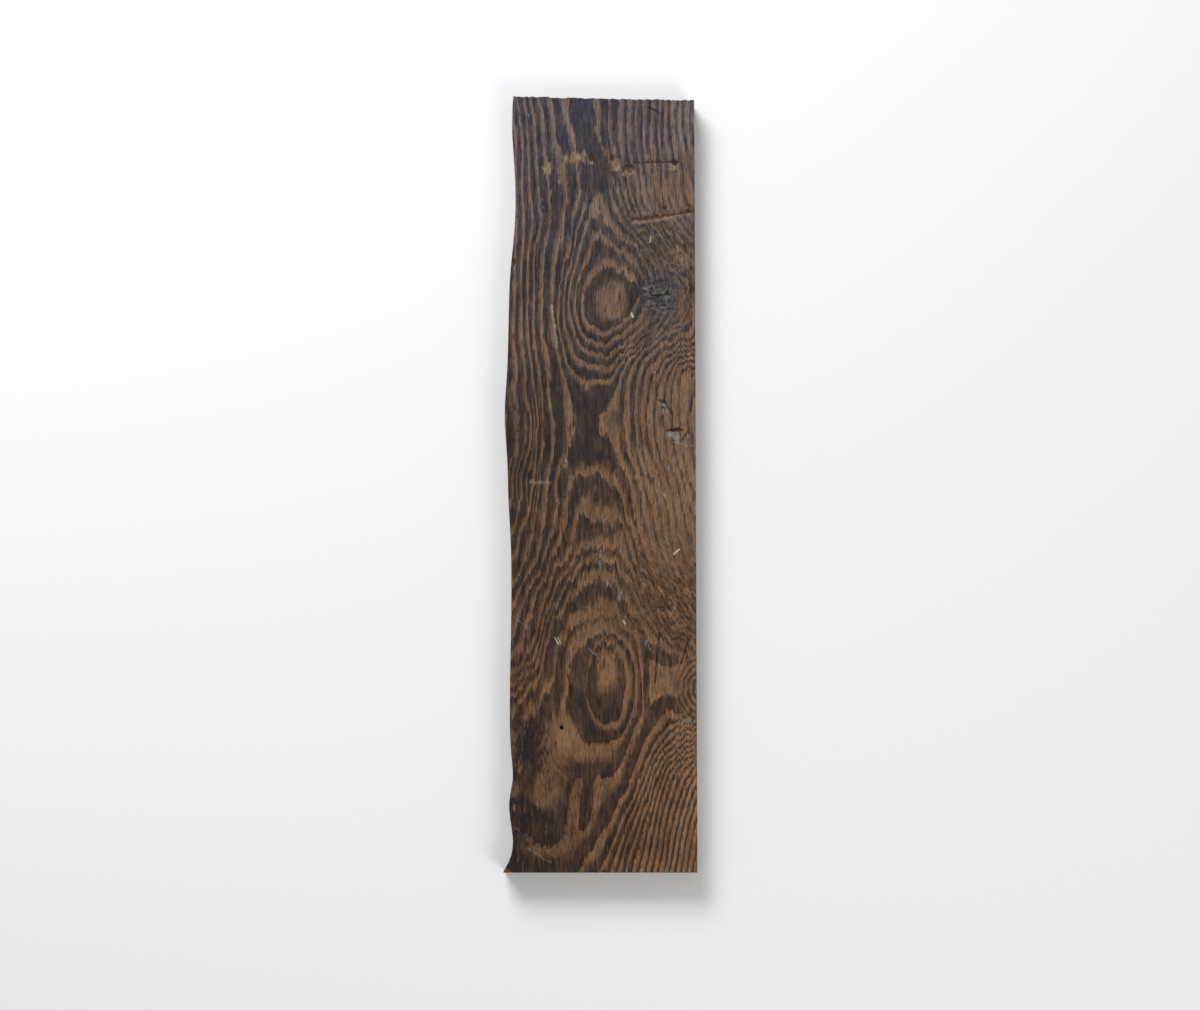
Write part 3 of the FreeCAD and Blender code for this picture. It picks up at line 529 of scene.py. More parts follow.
def wood_at(x, y, z):
    """All that varies through the wood, at each place: a value per name."""
    face_x, short = carry_to_face(x, y, z)
    face_x = np.clip(face_x, LOW[0] - FIGURE_MARGIN, HIGH[0] + FIGURE_MARGIN)
    here = face_year(face_x, y)
    slope = (face_year(face_x, y + SLOPE_STEP) - face_year(face_x, y - SLOPE_STEP)) / (2.0 * SLOPE_STEP)
    slope = np.clip(slope, -STEEPEST, STEEPEST)
    fray = grain_noise(x, y, *LINE_FRAY) - 0.5
    waver = grain_noise(x, y, *LINE_WAVER) - 0.5
    uneven = grain_noise(x, y, *SHARE_WAVER) - 0.5
    share = spread(LATE_SHARE, SHARE_REACH, x, y) + heaped(DARK_PLACES, x, y) + SHARE_UNEVEN * uneven
    trodden = smooth(*WEAR_DEPTH, TOP - z)
    return {
        "year": here - short + slope * FRAY_LENGTH * fray + WAVER_YEARS * waver + FRAY_YEARS * fray,
        "year_slope": slope,
        "late_share": np.clip(share, *SHARE_LIMITS),
        "line_loss": spread(LINE_LOSS, SHARE_REACH, x, y),
        "split": patches(SPLIT_LINES, x, y) * smooth(*SPLIT_EDGE, grain_noise(x, y, *SPLIT_WAVER)),
        # lighter toward the right, darker toward the left
        "lightness": spread(LIGHTNESS_BY_PLACE, LIGHTNESS_REACH, x, y),
        "swirl": patches(SWIRLS, x, y),
        "curl": patches(CURLS, x, y),
        "stain": patches(STAINS, x, y),
        "torn": trodden * patches(TORN_CHIPS, x, y),
        "rubbed": trodden * patches(RUBBED_WOOD, x, y),
        # painted sheen and highlights, with pale scuffs
        "sheen_and_scuff": trodden * patches(SHEEN_AND_SCUFFS, x, y),
        "dent": trodden * np.clip(patches(DENTS, x, y) * DENT_SHADE, 0.0, 1.0),
    }


# The board's outline and surface, felt out on the solid
def feel(start, direction):
    """Where a straight line from a place first meets the solid."""
    hit = SKIN.ray_cast(Vector(start) * MM, Vector(direction))[0]
    return None if hit is None else np.array(hit) / MM


def long_edge(side, heights):
    """The x of one long edge at each place along the board."""
    far = side * 2.0 * HIGH[0]
    inside = np.clip(heights, LOW[1] + END_ROOM, HIGH[1] - END_ROOM)
    found = [feel((far, y, MID_HEIGHT), (-side, 0, 0)) for y in inside]
    known = np.array([i for i, place in enumerate(found) if place is not None])
    reach = np.array([found[i][0] for i in known])
    return np.interp(np.arange(len(heights)), known, reach)


def end_of_board(x):
    """The y of the upper end at one x."""
    return feel((x, 2.0 * HIGH[1], MID_HEIGHT), (0, -1, 0))[1]


def arris_of(side):
    """The rounding of one upper long edge: how far below the face the side starts to lean in."""
    far = side * 2.0 * HIGH[0]
    full = feel((far, 0, MID_HEIGHT), (-side, 0, 0))[0]
    for z in np.arange(TOP - ARRIS_STEP, MID_HEIGHT, -ARRIS_STEP):
        place = feel((far, 0, z), (-side, 0, 0))
        if place is not None and abs(place[0] - full) < ARRIS_SLACK:
            return TOP - z
    return 0.0


def face_height(x, y):
    """The solid's own height under each place, scars included."""
    heights = np.full(x.shape, TOP)
    near_scars = (y > HIGH[1] - SCARRED_LENGTH) & (x > 0.0)
    for index in zip(*np.nonzero(near_scars)):
        place = feel((x[index], y[index], 2.0 * TOP), (0, 0, -1))
        if place is not None:
            heights[index] = place[2]
    return heights


def quarter_round(inset, radius):
    """How far a rounded arris lies below the face at a distance in from the edge."""
    inward = np.clip(radius - inset, 0.0, radius)
    return radius - np.sqrt(np.maximum(radius ** 2 - inward ** 2, 0.0))


def graded(count, first):
    """Places from 0 to 1 whose first and last steps are small, so the rounded arrises get their own cells."""
    steps = np.ones(count)
    ramp = np.array(first)
    steps[:len(ramp)] = ramp
    steps[-len(ramp):] = ramp[::-1]
    stations = np.concatenate([[0.0], np.cumsum(steps)])
    return stations / stations[-1]


def lay_out_face(across, along):
    """x and y of a grid over the board's outline: a row per place along, a column per place across."""
    corner_left = end_of_board(LOW[0] + WAVE_ROOM)
    corner_right = end_of_board(HIGH[0] - ARRIS_ROOM)
    lean = (corner_right - corner_left) / (HIGH[0] - ARRIS_ROOM - LOW[0] - WAVE_ROOM)
    left_y = LOW[1] + along * (corner_left - WAVE_ROOM * lean - LOW[1])
    right_y = LOW[1] + along * (corner_right + ARRIS_ROOM * lean - LOW[1])
    left_x = long_edge(-1, left_y)
    right_x = long_edge(1, right_y)
    x = left_x[:, None] * (1.0 - across) + right_x[:, None] * across
    y = left_y[:, None] * (1.0 - across) + right_y[:, None] * across
    return x, y


def worn_face(x, y):
    """The worn face: soft wood trodden below the hard, rounded arrises, dents, and torn ends."""
    left, right = arris_of(-1), arris_of(1)
    from_left = x - x[:, :1]
    from_right = x[:, -1:] - x
    from_low = y - y[:1]
    from_high = y[-1:] - y
    wood = wood_at(x, y, np.full(x.shape, TOP))
    late = smooth(*HARD_EDGE, 0.5 + 0.5 * np.cos(2 * math.pi * wood["year"]) + wood["late_share"] - 0.5)
    from_end = np.minimum(from_low, from_high)
    inside = smooth(0.0, RIM_CALM, np.minimum(np.minimum(from_left, from_right), from_end))
    tread = varied(x, y, TREAD, 0.75, 0.5)
    worn = SOFT_WOOD_WORN * (1.0 - late) * tread * (1.0 - SWIRL_UNWORN * wood["swirl"])
    ripples = wood["swirl"] * RIPPLE_DEPTH * grain_noise(x + SWIRL_LEAN * y, y - SWIRL_TURN * x, *RIPPLES)
    fibres = FIBRE_DEPTH * grain_noise(x, y, *FIBRES)
    dents = patches(DENTS, x, y, varied(x, y, RAGGED_DENTS, 0.7, 0.6))
    z = face_height(x, y) - inside * (worn + ripples + fibres) - dents * smooth(0.0, DENT_CALM, from_right)
    z -= quarter_round(from_left, left)
    z -= quarter_round(from_right, right)
    z -= quarter_round(from_end, END_ARRIS) * varied(x, y, UNEVEN_ARRIS, 0.6, 0.8)
    torn = TORN_END * grain_noise(x, y * 0.0, *TORN_FIBRES) * smooth(TORN_REACH, 0.0, from_high)
    return z, y - torn, wood


def ring_of(rows, columns):
    """The grid places round the rim of a face, in order."""
    lower = [(0, j) for j in range(columns)]
    right = [(i, columns) for i in range(rows)]
    upper = [(rows, j) for j in range(columns, 0, -1)]
    left = [(i, 0) for i in range(rows, 0, -1)]
    return lower + right + upper + left


def zip_rings(fine, coarse):
    """Triangles between two closed rings, the first with twice as many places as the second."""
    faces = []
    count = len(coarse)
    for k in range(count):
        a, b, c = fine[2 * k], fine[2 * k + 1], fine[(2 * k + 2) % (2 * count)]
        p, q = coarse[k], coarse[(k + 1) % count]
        faces += [(a, p, b), (b, p, q), (b, q, c)]
    return faces


class BoardMesh:
    """Collects the board's vertices, its wood values, and its faces with their material and bake place."""

    def __init__(self):
        self.places = []
        self.wood = {}
        self.faces = []
        self.materials = []
        self.bake = []
        self.count = 0

    def add_places(self, x, y, z, wood):
        """Adds vertices and gives their numbers, in the shape of x."""
        self.places.append(np.column_stack([x.ravel(), y.ravel(), z.ravel()]))
        for name, values in wood.items():
            self.wood.setdefault(name, []).append(np.asarray(values, float).ravel())
        numbers = np.arange(self.count, self.count + x.size).reshape(x.shape)
        self.count += x.size
        return numbers

    def add_face(self, corners, material, bake):
        """Adds one face with its corners' places on the baked picture."""
        self.faces.append([int(c) for c in corners])
        self.materials.append(material)
        self.bake.extend(bake)


# The four finishes, in the order of the faces' numbers
WORN_FACE, LONG_EDGE, SAWN_END, SAWN_BACK = range(4)

# The baked picture, as shares of its size: a millimetre of each side, and the gap between the sides
PICTURE = 1024
BAKE_FACE = 1.78 / PICTURE
BAKE_BACK = 1.16 / PICTURE
BAKE_EDGE = 1.7 / PICTURE
GAP = 6 / PICTURE

# Room on it in millimetres: the width and length of half a face, the length of half a back, the height of a
# strip of edge, how much the ends are shortened to share the last strip, and where the nail hole lies in
# that strip
FACE_ROOM = (206.0, 410.0)
BACK_ROOM = 413.0
STRIP_ROOM = 29.0
END_SHARE = 0.86
END_STRIP = 4
HOLE_RUN = 360.0


def bake_face_place(x, y, upper_half):
    """The worn face lies in two halves side by side."""
    left = GAP + (FACE_ROOM[0] * BAKE_FACE if upper_half else 0.0)
    start = 0.0 if upper_half else LOW[1]
    return left + (x - LOW[0]) * BAKE_FACE, GAP + (y - start) * BAKE_FACE


def bake_back_place(x, y, upper_half):
    """The back lies in two halves, one above the other, right of the worn face."""
    left = 2 * GAP + 2 * FACE_ROOM[0] * BAKE_FACE
    start = 0.0 if upper_half else LOW[1]
    bottom = GAP + (BACK_ROOM * BAKE_BACK if upper_half else 0.0)
    return left + (x - LOW[0]) * BAKE_BACK, bottom + (y - start) * BAKE_BACK


def bake_edge_place(run, down, strip):
    """Edges and ends lie in strips above the worn face."""
    bottom = 2 * GAP + FACE_ROOM[1] * BAKE_FACE
    return GAP + run * BAKE_EDGE, bottom + (strip * STRIP_ROOM + down) * BAKE_EDGE


def grid_faces(board, numbers, x, y, material, bake_place, hole, flip):
    """Quads over a grid of vertices, but for the cells that the nail hole takes."""
    rows, columns = numbers.shape
    middle = rows // 2
    for i in range(rows - 1):
        upper_half = i >= middle
        for j in range(columns - 1):
            if hole[0] <= i < hole[1] and hole[2] <= j < hole[3]:
                continue
            cell = [(i, j), (i, j + 1), (i + 1, j + 1), (i + 1, j)]
            if flip:
                cell.reverse()
            bake = [bake_place(x[c], y[c], upper_half) for c in cell]
            board.add_face([numbers[c] for c in cell], material, bake)


def pull_to_hole(x, y, block):
    """Moves the rim of the cells taken out for the nail hole onto its circle, and gives the rim in order."""
    low_row, high_row, low_column, high_column = block
    rim = [(i + low_row, j + low_column) for i, j in ring_of(high_row - low_row, high_column - low_column)]
    for index in rim:
        away = np.array([x[index], y[index]]) - NAIL_PLACE
        shape = np.array([high_column - low_column, high_row - low_row], float)
        turned = away / np.array([CELL_WIDTH, CELL_LENGTH]) / shape
        x[index], y[index] = NAIL_PLACE + NAIL_RADIUS * turned / np.linalg.norm(turned)
    return rim


def build_board():
    """The whole board as one closed mesh with its wood values as vertex attributes."""
    board = BoardMesh()
    x, y = lay_out_face(graded(CELLS_ACROSS, FIRST_ACROSS), graded(CELLS_ALONG, FIRST_ALONG))
    face_x, face_y = x.copy(), y.copy()
    row = int(np.argmin(abs(y[:, 0] - NAIL_PLACE[1]))) // 2 * 2
    column = int(np.argmin(abs(x[row] - NAIL_PLACE[0]))) // 2 * 2
    block = (row - HOLE_CELLS, row + HOLE_CELLS, column - HOLE_CELLS, column + HOLE_CELLS)
    rim = pull_to_hole(x, y, block)
    z, y, wood = worn_face(x, y)
    face = board.add_places(x, y, z, wood)
    grid_faces(board, face, face_x, face_y, WORN_FACE, bake_face_place, block, False)

    # the back: every second place of the same grid, with a small sawn arris
    back_x, back_y = x[::2, ::2].copy(), y[::2, ::2].copy()
    back_block = tuple(edge // 2 for edge in block)
    back_rim = pull_to_hole(back_x, back_y, back_block)
    back_z = BACK_HOLLOW * grain_noise(back_x, back_y, *BACK_HOLLOWS)
    back_z[[0, -1]] = BACK_ARRIS
    back_z[:, [0, -1]] = BACK_ARRIS
    back = board.add_places(back_x, back_y, back_z, wood_at(back_x, back_y, back_z))
    grid_faces(board, back, face_x[::2, ::2], face_y[::2, ::2], SAWN_BACK, bake_back_place, back_block, True)

    # the sides, ring below ring, down to the back's rim
    rim_places = ring_of(*(n - 1 for n in x.shape))
    side_rings = [np.array([face[i] for i in rim_places])]
    rim_x = np.array([x[i] for i in rim_places])
    rim_y = np.array([y[i] for i in rim_places])
    rim_z = np.array([z[i] for i in rim_places])
    inward_x = np.array([1.0 if j == 0 else -1.0 if j == CELLS_ACROSS else 0.0 for _, j in rim_places])
    inward_y = np.array([1.0 if i == 0 else -1.0 if i == CELLS_ALONG else 0.0 for i, _ in rim_places])
    for step in WALL_STEPS[1:-1]:
        ring_z = rim_z + (BACK_ARRIS - rim_z) * step
        fade = math.sin(math.pi * step)
        dip = EDGE_RIPPLE * fade * grain_noise(rim_x + rim_y, ring_z, *SIDE_RIPPLES)
        ring_x = rim_x + inward_x * dip
        ring_y = rim_y + inward_y * dip
        side_rings.append(board.add_places(ring_x, ring_y, ring_z, wood_at(ring_x, ring_y, ring_z)))
    run = rim_places + rim_places[:1]
    for upper, lower, high_step, low_step in zip(side_rings, side_rings[1:], WALL_STEPS, WALL_STEPS[1:]):
        for k, (here, there) in enumerate(zip(run, run[1:])):
            after = (k + 1) % len(rim_places)
            corners = (upper[k], lower[k], lower[after], upper[after])
            on_end = here[0] == there[0]
            bake = side_bake(here, there, high_step, low_step, face_x, face_y)
            board.add_face(corners, SAWN_END if on_end else LONG_EDGE, bake)
    back_ring = [back[i // 2, j // 2] for i, j in rim_places[::2]]
    place_on_ring = {number: k for k, number in enumerate(side_rings[-1])}
    for corners in zip_rings(side_rings[-1], back_ring):
        k = place_on_ring[corners[0]]
        here, there = run[k], run[k + 1]
        bake = side_bake(here, there, WALL_STEPS[-2], 1.0, face_x, face_y)[:3]
        board.add_face(corners, SAWN_END if here[0] == there[0] else LONG_EDGE, bake)

    # the wall of the nail hole
    rings = [[int(face[i]) for i in rim]]
    hole_x = np.array([x[i] for i in rim])
    hole_y = np.array([y[i] for i in rim])
    for depth in HOLE_DEPTHS:
        ring_z = np.full(len(rim), TOP - depth)
        values = wood_at(hole_x, hole_y, ring_z)
        values["dent"] = np.ones(len(rim))
        rings.append([int(n) for n in board.add_places(hole_x, hole_y, ring_z, values)])
    hole_place = bake_edge_place(HOLE_RUN, 0.0, END_STRIP)
    for upper, lower in zip(rings, rings[1:]):
        for k in range(len(rim)):
            after = (k + 1) % len(rim)
            board.add_face((upper[after], lower[after], lower[k], upper[k]), WORN_FACE, [hole_place] * 4)
    for a, b, c in zip_rings(rings[-1], [int(back[i]) for i in back_rim]):
        board.add_face((c, b, a), WORN_FACE, [hole_place] * 3)
    return board


def side_bake(here, there, high_step, low_step, x, y):
    """The bake place of one cell of a long edge or an end."""
    places = []
    for grid, step in ((here, high_step), (here, low_step), (there, low_step), (there, high_step)):
        down = step * TOP
        if here[0] == there[0]:
            run = x[grid] - LOW[0] + (0.0 if here[0] == 0 else FACE_ROOM[0])
            places.append(bake_edge_place(run * END_SHARE, down, END_STRIP))
        else:
            upper_half = min(here[0], there[0]) >= CELLS_ALONG // 2
            strip = (0 if here[1] == 0 else 2) + (1 if upper_half else 0)
            run = y[grid] - (0.0 if upper_half else LOW[1])
            places.append(bake_edge_place(run, down, strip))
    return places


def make_object(board):
    """Turns the collected mesh into the floorboard object."""
    places = np.concatenate(board.places)
    mesh = bpy.data.meshes.new("floorboard_wood")
    mesh.from_pydata(places * MM, [], board.faces)
    for name, parts in board.wood.items():
        layer = mesh.attributes.new(name, "FLOAT", "POINT")
        layer.data.foreach_set("value", np.concatenate(parts).astype(np.float32))
    mesh.polygons.foreach_set("material_index", np.array(board.materials, np.int32))
    mesh.polygons.foreach_set("use_smooth", np.ones(len(board.faces), bool))
    bake = mesh.uv_layers.new(name="OFBake")
    bake.data.foreach_set("uv", np.array(board.bake, np.float32).ravel())
    mesh.update()
    wood = bpy.data.objects.new("floorboard_wood", mesh)
    bpy.context.scene.collection.objects.link(wood)
    return wood


# Shader helpers
class Wiring:
    """Adds nodes to one node tree. An input takes a number, a colour, or another node's output."""

    def __init__(self, tree):
        self.tree = tree

    def add(self, kind, inputs=None, **settings):
        node = self.tree.nodes.new("ShaderNode" + kind)
        for name, value in settings.items():
            setattr(node, name, value)
        for name, value in (inputs or {}).items():
            self.put(node.inputs[name], value)
        return node

    def put(self, socket, value):
        if isinstance(value, bpy.types.NodeSocket):
            self.tree.links.new(value, socket)
        else:
            socket.default_value = value

    def sum(self, operation, *values):
        """One step of arithmetic on numbers."""
        node = self.add("Math", operation=operation)
        for socket, value in zip(node.inputs, values):
            self.put(socket, value)
        return node.outputs[0]

    def vector(self, operation, *values):
        """One step of arithmetic on vectors."""
        node = self.add("VectorMath", operation=operation)
        for socket, value in zip(node.inputs, values):
            self.put(socket, value)
        return node.outputs["Value"] if operation in ("LENGTH", "DOT_PRODUCT") else node.outputs["Vector"]

    def between(self, value, low, high, to_low=0.0, to_high=1.0):
        """Eases a value from one range into another and holds it there."""
        node = self.add("MapRange", interpolation_type="SMOOTHSTEP")
        ends = {"Value": value, "From Min": low, "From Max": high, "To Min": to_low, "To Max": to_high}
        for name, end in ends.items():
            self.put(node.inputs[name], end)
        return node.outputs["Result"]

    def noise(self, place, stretch, detail=2.0, roughness=0.55, shift=0.0):
        """Noise of 0 to 1 whose cells are the given millimetres along x, y and z."""
        scaled = self.vector("MULTIPLY", place, tuple(1.0 / s for s in stretch))
        moved = self.vector("ADD", scaled, (shift, shift * 0.7, shift * 1.3))
        node = self.add("TexNoise", {"Vector": moved, "Scale": 1.0, "Detail": detail, "Roughness": roughness})
        return node.outputs["Fac"]

    def swing(self, *noise):
        """The same noise, but of -0.5 to 0.5."""
        return self.sum("SUBTRACT", self.noise(*noise), 0.5)

    def rest(self, part):
        """What a part leaves of the whole."""
        return self.sum("SUBTRACT", 1.0, part)

    def held(self, value):
        """A value kept from 0 to 1."""
        return self.add("Clamp", {"Value": value}).outputs[0]

    def leaned(self, place, up, aside, longer=0.0):
        """A place moved aside and along by shares of how far up the board it is."""
        return self.vector("ADD", place, self.vector("MULTIPLY", up, (aside, longer, 0.0)))

    def blend(self, part, first, second):
        """Goes from one number to another."""
        return self.add("Mix", {0: part, 2: first, 3: second}).outputs[0]

    def mix(self, part, first, second, blend="MIX"):
        """Mixes two colours."""
        node = self.add("Mix", data_type="RGBA", blend_type=blend)
        self.put(node.inputs[0], part)
        self.put(node.inputs[6], first)
        self.put(node.inputs[7], second)
        return node.outputs[2]

    def cover(self, colour, part, strength, tone):
        """Lays a tone over a colour, where a part says and as strongly as given."""
        return self.mix(self.sum("MULTIPLY", part, strength), colour, screen_colour(tone))

    def effect(self, group, inputs):
        """Places one of the shared effects with its own values."""
        node = self.add("Group", node_tree=group)
        for name, value in inputs.items():
            self.put(node.inputs[name], value)
        return node.outputs


def new_effect(name, places, numbers, outputs):
    """An empty shared effect with named inputs, places first, and named outputs, all numbers."""
    group = bpy.data.node_groups.new(name, "ShaderNodeTree")
    for socket in places:
        group.interface.new_socket(socket, in_out="INPUT", socket_type="NodeSocketVector")
    for socket in numbers:
        group.interface.new_socket(socket, in_out="INPUT", socket_type="NodeSocketFloat")
    for socket in outputs:
        group.interface.new_socket(socket, in_out="OUTPUT", socket_type="NodeSocketFloat")
    wires = Wiring(group)
    given = group.nodes.new("NodeGroupInput").outputs
    result = group.nodes.new("NodeGroupOutput").inputs
    return group, wires, given, result


# The years are moved so that they are above 0 and the dark wood lies in the middle of each
SEASON_START = 100.5
FULL_TURN = 2.0 * math.pi

# Curled grain: how dark it is, its lean and that of the breaks across it, and how far it blurs the growth
# lines
SWIRL_DARK = 0.94
CURL_LEAN = -0.9
CURL_BREAK = 1.3
SWIRL_BLUR = 0.75
CURL_BLUR = 0.8

# The grey knot's shaggy streaks: their tilt, and how far they are bent in millimetres; and the saw marks'
# bend
SHAG_TILT = math.radians(30)
SHAG_BEND = (30.0, 24.0, 0.0)
SAW_BEND = 9.0


def growth_ring_effect():
    """Dark late wood, slow to come in and sharp to end, frayed along the fibres, with a pale rim after it."""
    group, w, given, result = new_effect(
        "Growth rings", ("Place",), ("Year", "Slope", "Fray", "Late share", "Softness", "Faint", "Mottle"),
        ("Late wood", "Pale rim"))
    place = given["Place"]
    fine = w.swing(place, (1.3, 30.0, 1.3), 3.0, 0.6)
    thread = w.swing(place, (3.2, 11.0, 3.2), 2.0, 0.6, 7.0)
    fray = w.sum("MULTIPLY", w.sum("MULTIPLY", fine, given["Slope"]), given["Fray"])
    ragged = w.sum("MULTIPLY_ADD", thread, 0.42, w.sum("MULTIPLY", fine, 0.3))
    year = w.sum("ADD", w.sum("ADD", given["Year"], fray), ragged)
    season = w.sum("FRACT", w.sum("ADD", year, SEASON_START))
    half = w.sum("MULTIPLY", given["Late share"], 0.5)
    start = w.sum("SUBTRACT", 0.5, half)
    stop = w.sum("ADD", 0.5, half)

    def past(edge, before, after):
        """Comes in with the season, from so many softnesses before an edge to so many after it."""
        low, high = (w.sum("MULTIPLY_ADD", given["Softness"], count, edge) for count in (before, after))
        return w.between(season, low, high)

    fall = past(stop, -0.5, 0.5)
    band = w.sum("MULTIPLY", past(start, -2.4, 1.6), w.rest(fall))
    gaps = w.between(w.noise(place, (3.4, 24.0, 3.4), 3.0, 0.55, 19.0), 0.4, 0.6)
    kept = w.rest(w.sum("MULTIPLY", gaps, given["Faint"]))
    depth = w.between(w.noise(place, (11.0, 36.0, 11.0), 3.0, 0.6, 71.0), 0.32, 0.54, 0.85, 1.0)
    kept = w.sum("MULTIPLY", kept, depth)
    streak = w.swing(place, (1.9, 16.0, 1.9), 4.0, 0.62, 23.0)
    patch = w.swing(place, (8.0, 22.0, 8.0), 3.0, 0.6, 29.0)
    mottle = w.sum("MULTIPLY", w.sum("ADD", streak, patch), given["Mottle"])
    w.put(result["Late wood"], w.held(w.sum("MULTIPLY_ADD", band, kept, mottle)))
    w.put(result["Pale rim"], w.sum("MULTIPLY", fall, w.rest(past(stop, 0.6, 2.4))))
    return group


def fibre_effect():
    """Fine fibres along the board, broader streaks, short dark pores, and slow clouds of tone and hue."""
    group, w, given, result = new_effect(
        "Wood fibre", ("Place",), (), ("Fibre", "Streak", "Pore", "Cloud", "Hue"))
    place = given["Place"]
    w.put(result["Fibre"], w.noise(place, (1.15, 15.0, 1.15), 5.0, 0.7))
    pores = w.between(w.noise(place, (1.25, 9.0, 1.25), 2.0, 0.5, 13.0), 0.57, 0.68)
    flecks = w.between(w.noise(place, (2.2, 9.0, 2.2), 3.0, 0.55, 67.0), 0.6, 0.7, 0.0, 0.6)
    w.put(result["Pore"], w.sum("MAXIMUM", pores, flecks))
    w.put(result["Streak"], w.noise(place, (3.0, 42.0, 3.0), 3.0, 0.6, 59.0))
    w.put(result["Hue"], w.noise(place, (9.0, 26.0, 9.0), 4.0, 0.65, 53.0))
    w.put(result["Cloud"], w.noise(place, (26.0, 60.0, 26.0), 4.0, 0.6, 3.0))
    return group


def ripple_effect():
    """Curled grain: fine ripples that lean left, or lean right and are broken across."""
    group, w, given, result = new_effect(
        "Curled grain", ("Place",), ("Leaning left", "Leaning right"), ("Ripple", "Calm"))
    place = given["Place"]
    up = w.add("SeparateXYZ", {0: place}).outputs["Y"]
    left_lean = w.leaned(place, up, SWIRL_LEAN)
    right_lean = w.leaned(place, up, CURL_LEAN)
    cross_lean = w.leaned(place, up, CURL_BREAK)
    fine = w.noise(left_lean, (2.0, 6.6, 2.0), 4.0, 0.65, 41.0)
    coarse = w.noise(left_lean, (4.6, 12.0, 4.6), 3.0, 0.6, 42.0)
    left = w.between(w.sum("MULTIPLY_ADD", fine, 0.6, w.sum("MULTIPLY", coarse, 0.4)), 0.44, 0.55)
    right = w.between(w.noise(right_lean, (2.6, 14.0, 2.6), 3.0, 0.6, 44.0), 0.4, 0.6)
    cross = w.between(w.noise(cross_lean, (2.4, 9.0, 2.4), 3.0, 0.6, 46.0), 0.36, 0.56, 0.35, 1.0)
    left = w.sum("MULTIPLY", w.sum("MULTIPLY", left, given["Leaning left"]), SWIRL_DARK)
    right = w.sum("MULTIPLY", w.sum("MULTIPLY", right, cross), given["Leaning right"])
    w.put(result["Ripple"], w.sum("ADD", left, right))
    blurred = w.sum("MULTIPLY", given["Leaning right"], CURL_BLUR)
    blurred = w.sum("MULTIPLY_ADD", given["Leaning left"], SWIRL_BLUR, blurred)
    w.put(result["Calm"], w.held(w.rest(blurred)))
    return group


def torn_effect():
    """Chips torn out along the fibres, their splinters, pits, and spots of painted sheen with pale scuffs on
    the hard wood.
    """
    group, w, given, result = new_effect(
        "Torn and rubbed", ("Place",), ("Torn", "Dent", "Sheen and scuff"), ("Chip", "Splinter", "Pit", "Sheen and scuff spots"))
    fine = w.swing(given["Place"], (1.7, 8.0, 1.7), 4.0, 0.65, 61.0)
    coarse = w.swing(given["Place"], (4.5, 13.0, 4.5), 3.0, 0.6, 65.0)
    splinter = w.sum("MULTIPLY_ADD", coarse, 1.2, fine)
    w.put(result["Chip"], w.between(w.sum("MULTIPLY_ADD", splinter, 1.2, given["Torn"]), 0.4, 0.78))
    shreds = w.noise(given["Place"], (2.4, 6.5, 2.4), 4.0, 0.65, 63.0)
    w.put(result["Splinter"], w.between(shreds, 0.36, 0.64))
    w.put(result["Pit"], w.between(w.sum("MULTIPLY_ADD", splinter, 0.9, given["Dent"]), 0.4, 0.8))
    # painted sheen and highlights, with pale scuffs
    speck = w.swing(given["Place"], (1.7, 4.5, 1.7), 3.0, 0.6, 47.0)
    w.put(result["Sheen and scuff spots"], w.between(w.sum("MULTIPLY_ADD", speck, 2.2, given["Sheen and scuff"]), 0.5, 1.1))
    return group


def knot_effect():
    """A branch cut across: rough streaked rings, and rings that run round its right side."""
    group, w, given, result = new_effect(
        "Knot", ("Place", "Middle", "Reach"), ("Rings", "Ring share", "Waver", "Halo"),
        ("Knot", "Ring", "Halo", "Halo ring", "Greyed"))
    away = w.vector("SUBTRACT", given["Place"], given["Middle"])
    flat = w.vector("MULTIPLY", w.vector("DIVIDE", away, given["Reach"]), (1.0, 1.0, 0.0))
    waver = w.swing(given["Place"], (8.0, 8.0, 60.0), 4.0, 0.62, 21.0)
    radius = w.sum("MULTIPLY_ADD", waver, given["Waver"], w.vector("LENGTH", flat))
    w.put(result["Knot"], w.between(radius, 1.25, 0.55))
    turn = w.sum("MULTIPLY", w.sum("MULTIPLY", radius, given["Rings"]), FULL_TURN)
    wave = w.sum("MULTIPLY_ADD", w.sum("COSINE", turn), 0.5, 0.5)
    tilted = w.add("VectorRotate", {"Vector": given["Place"], "Angle": SHAG_TILT}, rotation_type="Z_AXIS")
    bent = w.vector("ADD", tilted.outputs["Vector"], w.vector("MULTIPLY", waver, SHAG_BEND))
    shag = w.noise(bent, (7.5, 3.6, 12.0), 3.0, 0.6, 43.0)
    w.put(result["Ring"], w.between(w.sum("MULTIPLY_ADD", wave, given["Ring share"], shag), 0.36, 0.76))
    near = w.between(radius, w.sum("ADD", given["Halo"], 1.0), w.sum("MULTIPLY_ADD", given["Halo"], 0.6, 1.0))
    ringed = w.between(given["Halo"], 0.0, 0.2)
    right_side = w.between(w.add("SeparateXYZ", {0: flat}).outputs["X"], 0.0, 0.9)
    w.put(result["Halo"], w.sum("MULTIPLY", w.sum("MULTIPLY", near, right_side), ringed))
    w.put(result["Halo ring"], wave)
    w.put(result["Greyed"], w.sum("MULTIPLY", w.between(radius, 1.7, 0.9), ringed))
    return group


def saw_mark_effect():
    """The even ridges a saw leaves, a little bent and broken."""
    group, w, given, result = new_effect(
        "Saw marks", ("Place", "Across"), ("Spacing",), ("Ridge",))
    along = w.vector("DOT_PRODUCT", given["Place"], given["Across"])
    bend = w.noise(given["Place"], (70.0, 70.0, 40.0), 2.0, 0.5, 5.0)
    steps = w.sum("DIVIDE", w.sum("MULTIPLY_ADD", bend, SAW_BEND, along), given["Spacing"])
    wave = w.sum("MULTIPLY_ADD", w.sum("SINE", w.sum("MULTIPLY", steps, FULL_TURN)), 0.5, 0.5)
    broken = w.between(w.noise(given["Place"], (16.0, 22.0, 9.0), 3.0, 0.6, 9.0), 0.38, 0.62)
    w.put(result["Ridge"], w.sum("MULTIPLY", wave, broken))
    return group


